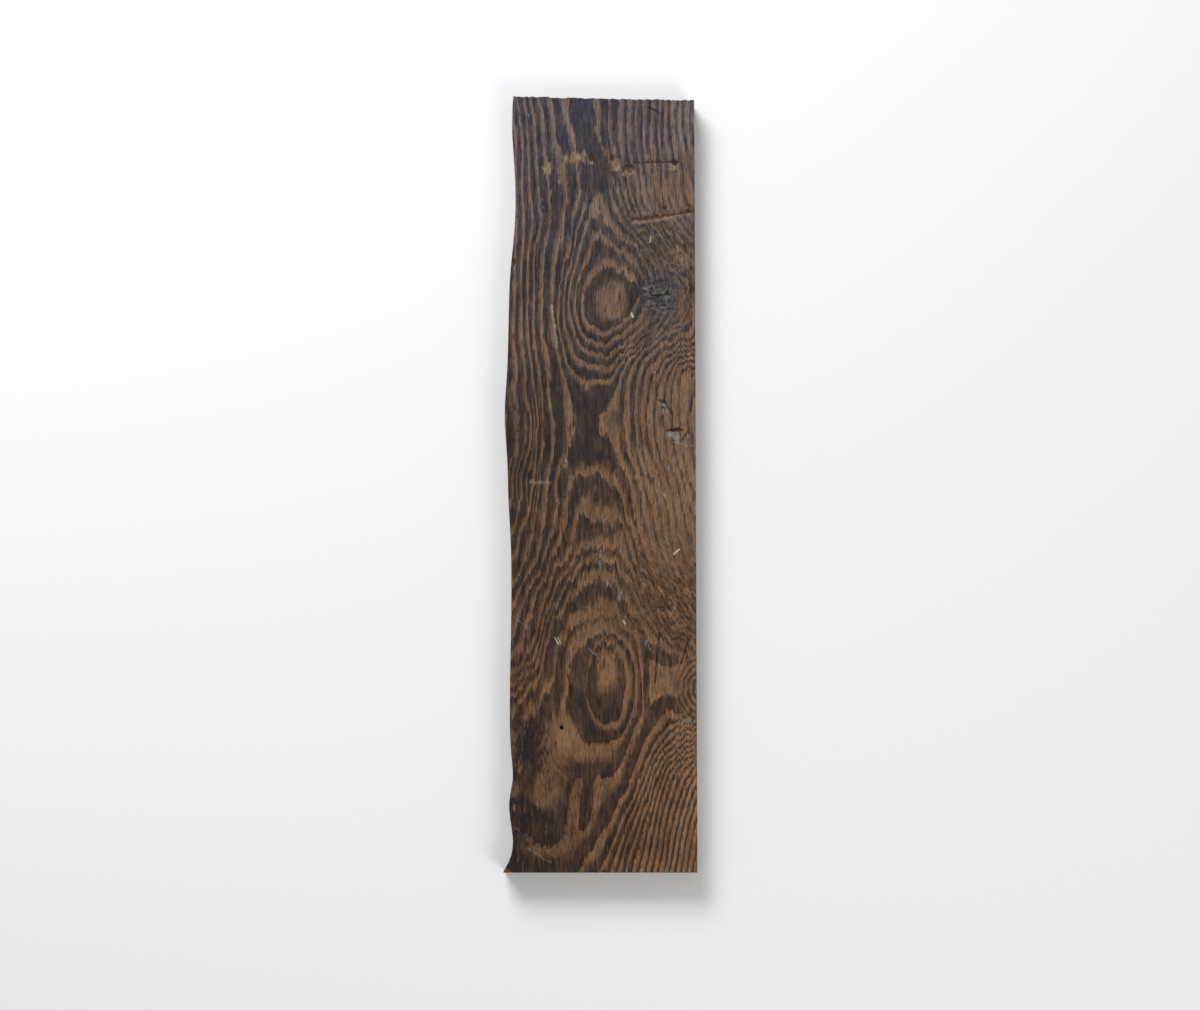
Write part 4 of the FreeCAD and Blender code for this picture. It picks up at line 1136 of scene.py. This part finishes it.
def scratch_effect():
    """A crack or scored line from one place to another."""
    group, w, given, result = new_effect(
        "Scored line", ("Place", "Start", "Finish"), ("Sway", "Width", "Waver"), ("Line",))
    sway = w.vector("MULTIPLY", w.sum("MULTIPLY", given["Sway"], given["Waver"]), (1.0, 2.0, 0.0))
    flat = w.vector("MULTIPLY", w.vector("ADD", given["Place"], sway), (1.0, 1.0, 0.0))
    line = w.vector("SUBTRACT", given["Finish"], given["Start"])
    away = w.vector("SUBTRACT", flat, given["Start"])
    part = w.sum("DIVIDE", w.vector("DOT_PRODUCT", away, line), w.vector("DOT_PRODUCT", line, line))
    scaled = w.add("VectorMath", {0: line, "Scale": w.held(part)}, operation="SCALE").outputs["Vector"]
    gap = w.vector("LENGTH", w.vector("SUBTRACT", away, scaled))
    distance = w.sum("MULTIPLY_ADD", given["Sway"], given["Waver"], gap)
    w.put(result["Line"], w.between(distance, given["Width"], 0.0))
    return group


def dirt_effect():
    """Dirt in blotches, held by the open fibres."""
    group, w, given, result = new_effect(
        "Trodden dirt", ("Place",), ("Amount",), ("Dirt",))
    blotch = w.noise(given["Place"], (9.0, 17.0, 9.0), 5.0, 0.68, 31.0)
    speck = w.noise(given["Place"], (2.4, 7.0, 2.4), 3.0, 0.6, 37.0)
    both = w.sum("MULTIPLY_ADD", speck, 0.5, w.sum("MULTIPLY", blotch, 0.5))
    low = w.sum("SUBTRACT", 0.72, w.sum("MULTIPLY", given["Amount"], 0.4))
    high = w.sum("ADD", low, 0.15)
    w.put(result["Dirt"], w.between(both, low, high))
    return group


# Tones along the board, from the lower end to the upper: place along it, then the colour as a screen shows
# it. Toward the upper end the tones turn blue-grey: a painted reflection of cool light on the wood's sheen.
PALE_WOOD_AND_SHEEN = ((0.0, (114, 83, 58)), (0.2, (117, 88, 64)), (0.5, (116, 89, 68)), (0.75, (112, 92, 79)),
             (1.0, (111, 99, 94)))
DARK_WOOD_AND_SHEEN = ((0.0, (41, 29, 25)), (0.25, (48, 35, 30)), (0.5, (42, 35, 34)), (0.75, (42, 39, 44)),
             (1.0, (46, 47, 60)))
REDDER_WOOD = (1.09, 0.98, 0.88, 1.0)
GREYER_WOOD = (0.93, 1.01, 1.1, 1.0)
GREY_CAST = (0.84, 0.94, 1.08, 1.0)
DIRT_TONE = (33, 29, 29)
BARE_TONE = (166, 141, 118)
BARE_SHADE = (122, 94, 71)
RUBBED_TONE = (150, 114, 80)
RIM_TONE = (134, 98, 68)
# painted blue-grey sheen and highlights, also the tone of pale scuffs and scratches
SHEEN_AND_SCUFF_TONE = (136, 140, 146)
KNOT_TONE = (110, 104, 102)
KNOT_SHADE = (40, 37, 39)
# near black for the cracks and for the painted shadow lines in a flake and a pit
CRACK_AND_SHADOW_TONE = (24, 20, 19)
RUST_TONE = (84, 46, 26)
PIT_TONE = (64, 38, 23)
STRAW_TONE = (198, 190, 170)
PORE_TONE = (48, 35, 30)

# How fully each thing hides the wood's own colour, and how much paler the reddest crack is
DIRT_COVER = 0.84
KNOT_COVER = 0.9
HALO_COVER = 0.8
HOLLOW_COVER = 0.85
RED_PALER = 0.75

# Relief in millimetres, and how dull the dirt and the hollows are
PORE_RELIEF = -0.12
KNOT_RELIEF = 0.8
CRACK_RELIEF = -0.7
HOLLOW_DULL = 0.85

# The range in which a value of the wood comes in, how broad the finer lines are, and the middle of the sway
EASED_IN = (0.25, 0.6)
SPLIT_SHARE = 1.05
SWAY_MIDDLE = 0.45

# The values that the mesh carries
WOOD_VALUES = ("year", "year_slope", "late_share", "line_loss", "split", "lightness", "swirl", "curl", "stain",
               "torn", "rubbed", "sheen_and_scuff", "dent")

# The two knots: middle, reach, rings and how plain they are, waver, and how far rings run round them
GREY_KNOT = {
    "Middle": (63, 190, 0), "Reach": (21, 23, 1),
    "Rings": 3.1, "Ring share": 0.1, "Waver": 0.8, "Halo": 1.0,
}
EDGE_KNOT = {
    "Middle": (106, -219, 0), "Reach": (30, 38, 1),
    "Rings": 6.0, "Ring share": 0.7, "Waver": 0.2, "Halo": 0.0,
}

# Cracks and scored lines, and painted shadow along the upper lips and in the hollow of a lifted flake and a
# torn pit (the four lines at y 38 to 82): start, finish, width, waver, how red
SCORED_AND_SHADOW_LINES = (
    ((36, 335, 0), (82, 336, 0), 2.2, 3.6, 0.5),
    ((35, 274, 0), (66, 278, 0), 3.0, 3.4, 0.8),
    ((66, 278, 0), (99, 283, 0), 2.4, 3.4, 0.7),
    ((51, 395, 0), (64, 388, 0), 1.6, 0.8, 0.1),
    ((62, -161, 0), (59, -186, 0), 1.8, 1.2, 0.0),
    ((59, -186, 0), (57, -213, 0), 1.9, 1.2, 0.0),
    ((92, -168, 0), (84, -193, 0), 1.9, 1.6, 0.0),
    ((53, 194, 0), (54.5, 201, 0), 1.5, 2.0, 0.0),
    ((55, 192.5, 0), (65, 192.5, 0), 1.7, 2.4, 0.0),
    ((70.5, 194.5, 0), (71.5, 199, 0), 2.0, 2.0, 0.0),
    ((59, 182.5, 0), (69, 182, 0), 1.6, 2.4, 0.0),
    ((62, 82, 0), (69, 79, 0), 2.5, 3.0, 0.1),
    ((69, 79, 0), (75, 68, 0), 2.4, 3.0, 0.1),
    ((71, 50.5, 0), (86, 51, 0), 2.8, 4.0, 0.1),
    ((84.5, 38, 0), (90, 46, 0), 2.8, 3.0, 0.1),
    ((-42, -21, 0), (-35, -20, 0), 1.2, 0.8, 0.9),
    ((-33, -205, 0), (-30, -228, 0), 1.0, 1.2, 0.1),
)

# Pale scratches, splits and bits of straw trodden in: start, finish, width, waver, strength, tone
PALE_LINES = (
    ((77, -79.5, 0), (82.5, -74.5, 0), 1.6, 0.8, 0.95, STRAW_TONE),
    ((-46.8, -166.5, 0), (-43, -173, 0), 1.0, 0.4, 0.95, STRAW_TONE),
    ((-44, -166, 0), (-41, -171.5, 0), 0.9, 0.4, 0.7, STRAW_TONE),
    ((24.5, -149, 0), (26, -152, 0), 1.5, 0.6, 0.8, STRAW_TONE),
    ((53.8, 255, 0), (52.4, 249.5, 0), 1.2, 0.8, 0.9, STRAW_TONE),
    ((33, 174, 0), (34.5, 170, 0), 1.7, 1.0, 0.95, STRAW_TONE),
    ((-72, -4, 0), (-53, -5, 0), 3.2, 5.0, 0.38, BARE_TONE),
    ((-51, 183, 0), (-48, 160, 0), 2.4, 3.4, 0.6, BARE_TONE),
    ((-48, 160, 0), (-45, 138, 0), 2.4, 3.4, 0.6, BARE_TONE),
    ((66, -16, 0), (69, -22, 0), 1.5, 0.9, 0.7, BARE_TONE),
    ((-95, -140, 0), (-72, -158, 0), 1.1, 2.2, 0.35, SHEEN_AND_SCUFF_TONE),
    ((-12, -176, 0), (-4, -184, 0), 1.8, 3.0, 0.45, SHEEN_AND_SCUFF_TONE),
    ((35, 270, 0), (80, 276.5, 0), 2.6, 6.0, 0.5, BARE_TONE),
    ((-90, -360, 0), (-70, -372, 0), 1.4, 4.0, 0.2, SHEEN_AND_SCUFF_TONE),
    ((-75, -382, 0), (-50, -397, 0), 1.4, 4.0, 0.2, SHEEN_AND_SCUFF_TONE),
    ((-40, -367, 0), (-33, -373, 0), 1.2, 3.0, 0.3, SHEEN_AND_SCUFF_TONE),
    ((-75, -372, 0), (-46, -390, 0), 2.2, 5.0, 0.5, BARE_SHADE),
)


def screen_colour(tone):
    """A colour as a screen shows it, in 0 to 255, as the shader's linear colour."""
    linear = []
    for part in tone:
        level = part / 255.0
        linear.append(level / 12.92 if level <= 0.04045 else ((level + 0.055) / 1.055) ** 2.4)
    return (*linear, 1.0)


def tone_along(w, part, tones):
    """A colour that changes from the lower end of the board to the upper."""
    ramp = w.add("ValToRGB", {"Fac": part})
    stops = ramp.color_ramp.elements
    while len(stops) < len(tones):
        stops.new(0.5)
    for stop, (position, tone) in zip(stops, tones):
        stop.position = position
        stop.color = screen_colour(tone)
    return ramp.outputs["Color"]


def softwood(name, effects, finish):
    """One side of the board: the same wood with its own wear, dirt and saw marks."""
    material = bpy.data.materials.new(name)
    material.use_nodes = True
    tree = material.node_tree
    tree.nodes.clear()
    w = Wiring(tree)
    object_place = w.add("TexCoord").outputs["Object"]
    place = w.add("VectorMath", {0: object_place, "Scale": 1.0 / MM}, operation="SCALE").outputs["Vector"]
    value = {n: w.add("Attribute", attribute_name=n).outputs["Fac"] for n in WOOD_VALUES}

    # the growth rings, each line split into two finer ones at some places
    line_look = {
        "Place": place, "Fray": finish["fray"], "Softness": finish["softness"], "Faint": value["line_loss"],
        "Mottle": finish["mottle"]}
    rings = w.effect(effects["rings"], {
        **line_look, "Year": value["year"], "Slope": value["year_slope"], "Late share": value["late_share"]})
    half_rings = w.effect(effects["rings"], {
        **line_look, "Year": w.sum("MULTIPLY", value["year"], 2.0),
        "Slope": w.sum("MULTIPLY", value["year_slope"], 2.0),
        "Late share": w.sum("MULTIPLY", value["late_share"], SPLIT_SHARE)})
    split = w.between(value["split"], *EASED_IN)
    year_line = w.blend(split, rings["Late wood"], half_rings["Late wood"])

    # the fibres, leaning where the grain swirls, the dirt, the knots and the saw marks
    up = w.add("SeparateXYZ", {0: place}).outputs["Y"]
    upright = w.effect(effects["fibre"], {"Place": place})
    leaning = w.effect(effects["fibre"], {"Place": w.leaned(place, up, SWIRL_LEAN, SWIRL_SHORTER)})
    lean = w.between(value["swirl"], *EASED_IN)
    fibre = {n: w.blend(lean, upright[n], leaning[n]) for n in ("Fibre", "Streak", "Pore", "Cloud", "Hue")}
    dirt_amount = w.sum("MULTIPLY_ADD", value["stain"], finish["stain"], finish["dirt"])
    dirt = w.effect(effects["dirt"], {"Place": place, "Amount": dirt_amount})["Dirt"]
    grey = w.effect(effects["knot"], {"Place": place, **GREY_KNOT})
    edge = w.effect(effects["knot"], {"Place": place, **EDGE_KNOT})
    ridge = w.effect(effects["saw"], {
        "Place": place, "Across": finish["saw_across"], "Spacing": finish["saw_spacing"]})["Ridge"]

    # late wood: the rings, blurred where the grain curls, bent round the knots
    curl = w.effect(effects["ripple"], {
        "Place": place, "Leaning left": value["swirl"], "Leaning right": value["curl"]})
    calm = curl["Calm"]
    late = w.sum("MULTIPLY_ADD", year_line, calm, curl["Ripple"])
    halo = w.sum("MULTIPLY", grey["Halo"], HALO_COVER)
    around = w.sum("MULTIPLY", grey["Halo ring"], halo)
    late = w.sum("MULTIPLY_ADD", late, w.rest(halo), around)
    edge_ring = w.sum("MULTIPLY", edge["Halo ring"], w.sum("MULTIPLY_ADD", edge["Ring"], 0.4, 0.5))
    late = w.sum("MULTIPLY_ADD", late, w.rest(edge["Knot"]), w.sum("MULTIPLY", edge["Knot"], edge_ring))

    # colour
    along = w.add("MapRange", {"Value": up, "From Min": LOW[1], "From Max": HIGH[1]}).outputs["Result"]
    # the wood's tones along the board, turning blue-grey toward the upper end as a painted reflection of cool
    # light
    pale = tone_along(w, along, PALE_WOOD_AND_SHEEN)
    dark = tone_along(w, along, DARK_WOOD_AND_SHEEN)
    colour = w.mix(late, pale, dark)
    colour = w.cover(colour, w.sum("MULTIPLY", rings["Pale rim"], calm), finish["rim"], RIM_TONE)
    streak = w.between(fibre["Fibre"], 0.28, 0.72, 1.0 - finish["streak"], 1.0 + finish["streak"])
    streak = w.sum("MULTIPLY", streak, w.between(fibre["Streak"], 0.3, 0.7, 0.84, 1.16))
    hue = w.mix(w.between(fibre["Hue"], 0.34, 0.66), REDDER_WOOD, GREYER_WOOD)
    colour = w.mix(1.0, colour, hue, "MULTIPLY")
    cloud = w.between(fibre["Cloud"], 0.3, 0.7, 1.0 - finish["cloud"], 1.0 + finish["cloud"])
    colour = w.mix(1.0, colour, w.sum("MULTIPLY", streak, cloud), "MULTIPLY")
    colour = w.cover(colour, fibre["Pore"], finish["pore"], PORE_TONE)
    # lighter toward the right and darker toward the left, by place
    colour = w.mix(1.0, colour, value["lightness"], "MULTIPLY")
    colour = w.mix(grey["Greyed"], colour, w.mix(1.0, colour, GREY_CAST, "MULTIPLY"))
    rubbed = w.sum("MULTIPLY", value["rubbed"], finish["bare"])
    colour = w.cover(colour, rubbed, w.between(fibre["Fibre"], 0.3, 0.6), RUBBED_TONE)
    colour = w.cover(colour, dirt, DIRT_COVER, DIRT_TONE)
    torn = w.effect(effects["torn"], {
        "Place": place, "Torn": value["torn"], "Dent": value["dent"], "Sheen and scuff": value["sheen_and_scuff"]})
    bare = w.mix(torn["Splinter"], screen_colour(BARE_SHADE), screen_colour(BARE_TONE))
    colour = w.mix(w.sum("MULTIPLY", torn["Chip"], finish["bare"]), colour, bare)
    knot_shade = w.mix(grey["Ring"], screen_colour(KNOT_SHADE), screen_colour(KNOT_TONE))
    colour = w.mix(w.sum("MULTIPLY", grey["Knot"], KNOT_COVER), colour, knot_shade)
    # painted blue-grey sheen and highlights on the hard wood, with pale scuffed lumps in the knot
    colour = w.cover(colour, torn["Sheen and scuff spots"], finish["sheen_and_scuff"], SHEEN_AND_SCUFF_TONE)
    sway = w.sum("SUBTRACT", w.noise(place, (6.0, 6.0, 6.0), 3.0, 0.6, 17.0), SWAY_MIDDLE)

    def stroke(start, end, width, waver):
        """One crack, scored line, painted shadow line or scratch."""
        return w.effect(effects["scratch"], {
            "Place": place, "Sway": sway, "Start": start, "Finish": end, "Width": width, "Waver": waver,
        })["Line"]

    # cracks and scored lines, with painted shadow along the lips of a lifted flake and a torn pit
    cracks_and_shadow_lines = 0.0
    for *course, red in finish["scored_and_shadowed"]:
        line = stroke(*course)
        cracks_and_shadow_lines = w.sum("MAXIMUM", cracks_and_shadow_lines, w.sum("MULTIPLY", line, 1.0 - RED_PALER * red))
        colour = w.cover(colour, line, red, RUST_TONE)
    pit = torn["Pit"]
    colour = w.cover(colour, pit, HOLLOW_COVER, PIT_TONE)
    # the cracks and the painted shadow lines, near black
    colour = w.cover(colour, cracks_and_shadow_lines, HOLLOW_COVER, CRACK_AND_SHADOW_TONE)
    hollow = w.sum("MAXIMUM", cracks_and_shadow_lines, pit)
    for *course, strength, tone in finish["scratched"]:
        colour = w.cover(colour, stroke(*course), strength, tone)
    colour = w.cover(colour, ridge, finish["saw_shade"], DIRT_TONE)

    # gloss: the hard wood is rubbed, the soft wood dull
    gloss = w.between(late, 0.0, 1.0, finish["dull"], finish["rubbed"])
    rough = w.sum("MULTIPLY_ADD", w.sum("SUBTRACT", fibre["Fibre"], 0.5), 0.3, gloss)
    rough = w.sum("MAXIMUM", rough, w.sum("MULTIPLY", w.sum("MAXIMUM", dirt, hollow), HOLLOW_DULL))

    # relief in millimetres
    height = w.sum("MULTIPLY", late, finish["relief"])
    height = w.sum("MULTIPLY_ADD", fibre["Fibre"], finish["fibre_relief"], height)
    height = w.sum("MULTIPLY_ADD", fibre["Pore"], PORE_RELIEF, height)
    height = w.sum("MULTIPLY_ADD", fibre["Streak"], finish["streak_relief"], height)
    height = w.sum("MULTIPLY_ADD", w.sum("MULTIPLY", torn["Chip"], torn["Splinter"]), finish["bare"], height)
    height = w.sum("MULTIPLY_ADD", w.sum("MULTIPLY", grey["Knot"], grey["Ring"]), KNOT_RELIEF, height)
    height = w.sum("MULTIPLY_ADD", cracks_and_shadow_lines, CRACK_RELIEF, height)
    height = w.sum("MULTIPLY_ADD", ridge, finish["saw_relief"], height)
    bump = w.add("Bump", {"Height": height, "Distance": MM, "Strength": 1.0})
    shader = w.add("BsdfPrincipled", {
        "Base Color": colour, "Roughness": rough, "Normal": bump.outputs["Normal"],
        "Specular IOR Level": 0.2})
    output = w.add("OutputMaterial")
    tree.links.new(shader.outputs["BSDF"], output.inputs["Surface"])
    return material


# The four finishes: how the growth lines fray and soften, the stains, dirt, fibres and bare wood, painted
# sheen, gloss, relief in millimetres, saw marks, and the lines scored into that side, with painted shadow
# lines among them
FACE_FINISH = {
    "fray": 16.0, "softness": 0.1, "mottle": 0.6, "stain": 0.75, "dirt": 0.12, "streak": 0.34, "cloud": 0.18,
    "pore": 0.7, "bare": 0.85, "rim": 0.35, "sheen_and_scuff": 0.7, "dull": 0.88, "rubbed": 0.72,
    "relief": 0.5, "fibre_relief": 0.5, "streak_relief": 0.5,
    "saw_across": (0.5, 0.85, 0.0), "saw_spacing": 3.0, "saw_shade": 0.0, "saw_relief": 0.0,
    "scored_and_shadowed": SCORED_AND_SHADOW_LINES, "scratched": PALE_LINES,
}
SAWN_FINISH = {**FACE_FINISH, "scored_and_shadowed": (), "scratched": ()}
EDGE_FINISH = {
    **SAWN_FINISH, "fray": 6.0, "dirt": 0.45, "bare": 0.2, "rubbed": 0.68,
    "relief": 0.12, "streak_relief": 0.2,
    "saw_across": (0.0, 1.0, 0.25), "saw_spacing": 3.4, "saw_shade": 0.25, "saw_relief": 0.12,
}
END_FINISH = {
    **SAWN_FINISH, "fray": 0.0, "softness": 0.14, "mottle": 0.5, "dirt": 0.4, "streak": 0.35, "pore": 0.5,
    "bare": 0.0, "dull": 0.9, "rubbed": 0.75, "relief": 0.15, "streak_relief": 0.1,
    "saw_across": (0.35, 0.0, 0.94), "saw_spacing": 1.7, "saw_shade": 0.3, "saw_relief": 0.2,
}
BACK_FINISH = {
    **SAWN_FINISH, "fray": 10.0, "softness": 0.16, "mottle": 0.7, "stain": 0.3, "dirt": 0.3, "bare": 0.0,
    "dull": 0.9, "rubbed": 0.75, "relief": 0.08, "streak_relief": 0.2,
    "saw_across": (0.12, 0.99, 0.0), "saw_spacing": 4.2, "saw_shade": 0.35, "saw_relief": 0.35,
}


def dress(wood):
    """Gives the board its four finishes, in the order of the faces' numbers."""
    effects = {
        "rings": growth_ring_effect(), "fibre": fibre_effect(), "knot": knot_effect(),
        "saw": saw_mark_effect(), "scratch": scratch_effect(), "dirt": dirt_effect(),
        "ripple": ripple_effect(), "torn": torn_effect(),
    }
    finishes = (("worn_face", FACE_FINISH), ("long_edge", EDGE_FINISH), ("sawn_end", END_FINISH),
                ("sawn_back", BACK_FINISH))
    for name, finish in finishes:
        wood.data.materials.append(softwood(name, effects, finish))


# The floor: its size and where it fades, in metres, how far inside the board's rim its opening lies, in
# millimetres, how many places go along each side of that, and how many round the scrap under the nail hole
FLOOR_SIZE = 12.0
FLOOR_FADE = (1.6, 4.5)
FLOOR_COLOUR = (0.9, 0.9, 0.9, 1.0)
OPENING_INSET = 1.6
OPENING_PLACES = 80
SCRAP_SIDES = 16

# The light: how much comes from all round, and the lamps with place and size in metres, watts and colour
WORLD_LIGHT = 0.3
WHITE = (1.0, 1.0, 1.0, 1.0)
LAMPS = (
    ("back_light", (0.0, 0.0, -1.2), (0.2, 0.8), 14.0, WHITE[:3]),
    ("window_light", (-1.3, 2.7, 1.9), (2.0, 1.4), 138.0, (0.97, 0.98, 1.0)),
    ("fill_light", (1.9, -2.2, 2.1), (1.8, 1.8), 42.0, (1.0, 0.99, 0.97)),
)

# The camera, almost straight above: distance, aim and the height of what it sees, in metres
CAMERA_DISTANCE = 2.0
CAMERA_TILT = math.radians(4.7)
AIM = Vector((0.0, -0.0275, MID_HEIGHT * MM))
FRAME_HEIGHT = 1.059
IMAGE_SIZE = (1200, 1010)
SENSOR = 36.0


def pale_floor(outline):
    """A plain pale floor, left open where the board covers it, so that light reaches the board's back."""
    half = FLOOR_SIZE / 2
    corners = [Vector((x, y, 0.0)) for x, y in ((-half, -half), (half, -half), (half, half), (-half, half))]
    opening = [Vector((x, y, 0.0)) for x, y in outline]
    mesh = bpy.data.meshes.new("floor")
    middle = Vector((*NAIL_PLACE, 0.0)) * MM
    turns = [FULL_TURN * k / SCRAP_SIDES for k in range(SCRAP_SIDES)]
    scrap = [middle + Vector((math.cos(t), math.sin(t), 0.0)) * NAIL_RADIUS * MM for t in turns]
    count = len(corners + opening)
    flats = tessellate_polygon([corners, opening]) + [tuple(range(count, count + len(scrap)))]
    mesh.from_pydata(corners + opening + scrap, [], flats)
    for flat in mesh.polygons:
        if flat.normal.z < 0.0:
            flat.flip()
    mesh.update()
    floor = bpy.data.objects.new("floor", mesh)
    bpy.context.scene.collection.objects.link(floor)
    material = bpy.data.materials.new("pale_floor")
    material.use_nodes = True
    tree = material.node_tree
    tree.nodes.clear()
    w = Wiring(tree)
    away = w.vector("LENGTH", w.add("TexCoord").outputs["Object"])
    shown = w.between(away, *FLOOR_FADE, 1.0, 0.0)
    from_above = w.rest(w.add("NewGeometry").outputs["Backfacing"])
    shader = w.add("BsdfPrincipled", {
        "Base Color": FLOOR_COLOUR, "Roughness": 0.9, "Specular IOR Level": 0.1,
        "Alpha": w.sum("MULTIPLY", shown, from_above)})
    output = w.add("OutputMaterial")
    tree.links.new(shader.outputs["BSDF"], output.inputs["Surface"])
    mesh.materials.append(material)


def soft_lamp(name, place, size, power, colour):
    """A large soft lamp aimed at the board."""
    lamp = bpy.data.lights.new(name, "AREA")
    lamp.shape = "RECTANGLE"
    lamp.size, lamp.size_y = size
    lamp.energy = power
    lamp.color = colour
    holder = bpy.data.objects.new(name, lamp)
    holder.location = place
    holder.rotation_euler = (AIM - Vector(place)).to_track_quat("-Z", "Y").to_euler()
    bpy.context.scene.collection.objects.link(holder)


def floor_opening():
    """The board's outline a little inside its rim, in metres."""
    heights = np.linspace(LOW[1] + OPENING_INSET, HIGH[1] - 3.0 * OPENING_INSET, OPENING_PLACES)
    left = np.column_stack([long_edge(-1, heights) + OPENING_INSET, heights])
    right = np.column_stack([long_edge(1, heights) - OPENING_INSET, heights])
    return np.concatenate([right, left[::-1]]) * MM


def studio():
    """A pale floor, soft light from beyond the upper end, weaker light elsewhere, and the camera."""
    pale_floor(floor_opening())
    for lamp in LAMPS:
        soft_lamp(*lamp)
    world = bpy.data.worlds.new("studio")
    world.use_nodes = True
    w = Wiring(world.node_tree)
    background = world.node_tree.nodes["Background"]
    seen = w.add("LightPath").outputs["Is Camera Ray"]
    w.put(background.inputs["Color"], WHITE)
    w.put(background.inputs["Strength"], w.sum("MAXIMUM", seen, WORLD_LIGHT))
    bpy.context.scene.world = world
    camera = bpy.data.cameras.new("camera")
    camera.sensor_width = SENSOR
    frame_width = FRAME_HEIGHT * IMAGE_SIZE[0] / IMAGE_SIZE[1]
    camera.lens = SENSOR * CAMERA_DISTANCE / frame_width
    holder = bpy.data.objects.new("camera", camera)
    back = Vector((0.0, -math.sin(CAMERA_TILT), math.cos(CAMERA_TILT)))
    holder.location = AIM + back * CAMERA_DISTANCE
    holder.rotation_euler = (CAMERA_TILT, 0.0, 0.0)
    bpy.context.scene.collection.objects.link(holder)
    bpy.context.scene.camera = holder
    bpy.context.scene.view_settings.view_transform = "Standard"


SKIN = BVHTree.FromPolygons([v.co for v in SOLID.data.vertices], [p.vertices for p in SOLID.data.polygons])
PLATE = grow()
CELL_WIDTH = (HIGH[0] - LOW[0]) / CELLS_ACROSS
CELL_LENGTH = (HIGH[1] - LOW[1]) / CELLS_ALONG

floorboard = make_object(build_board())
dress(floorboard)
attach(floorboard, "root")
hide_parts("floorboard")
studio()

bpy.context.view_layer.update()
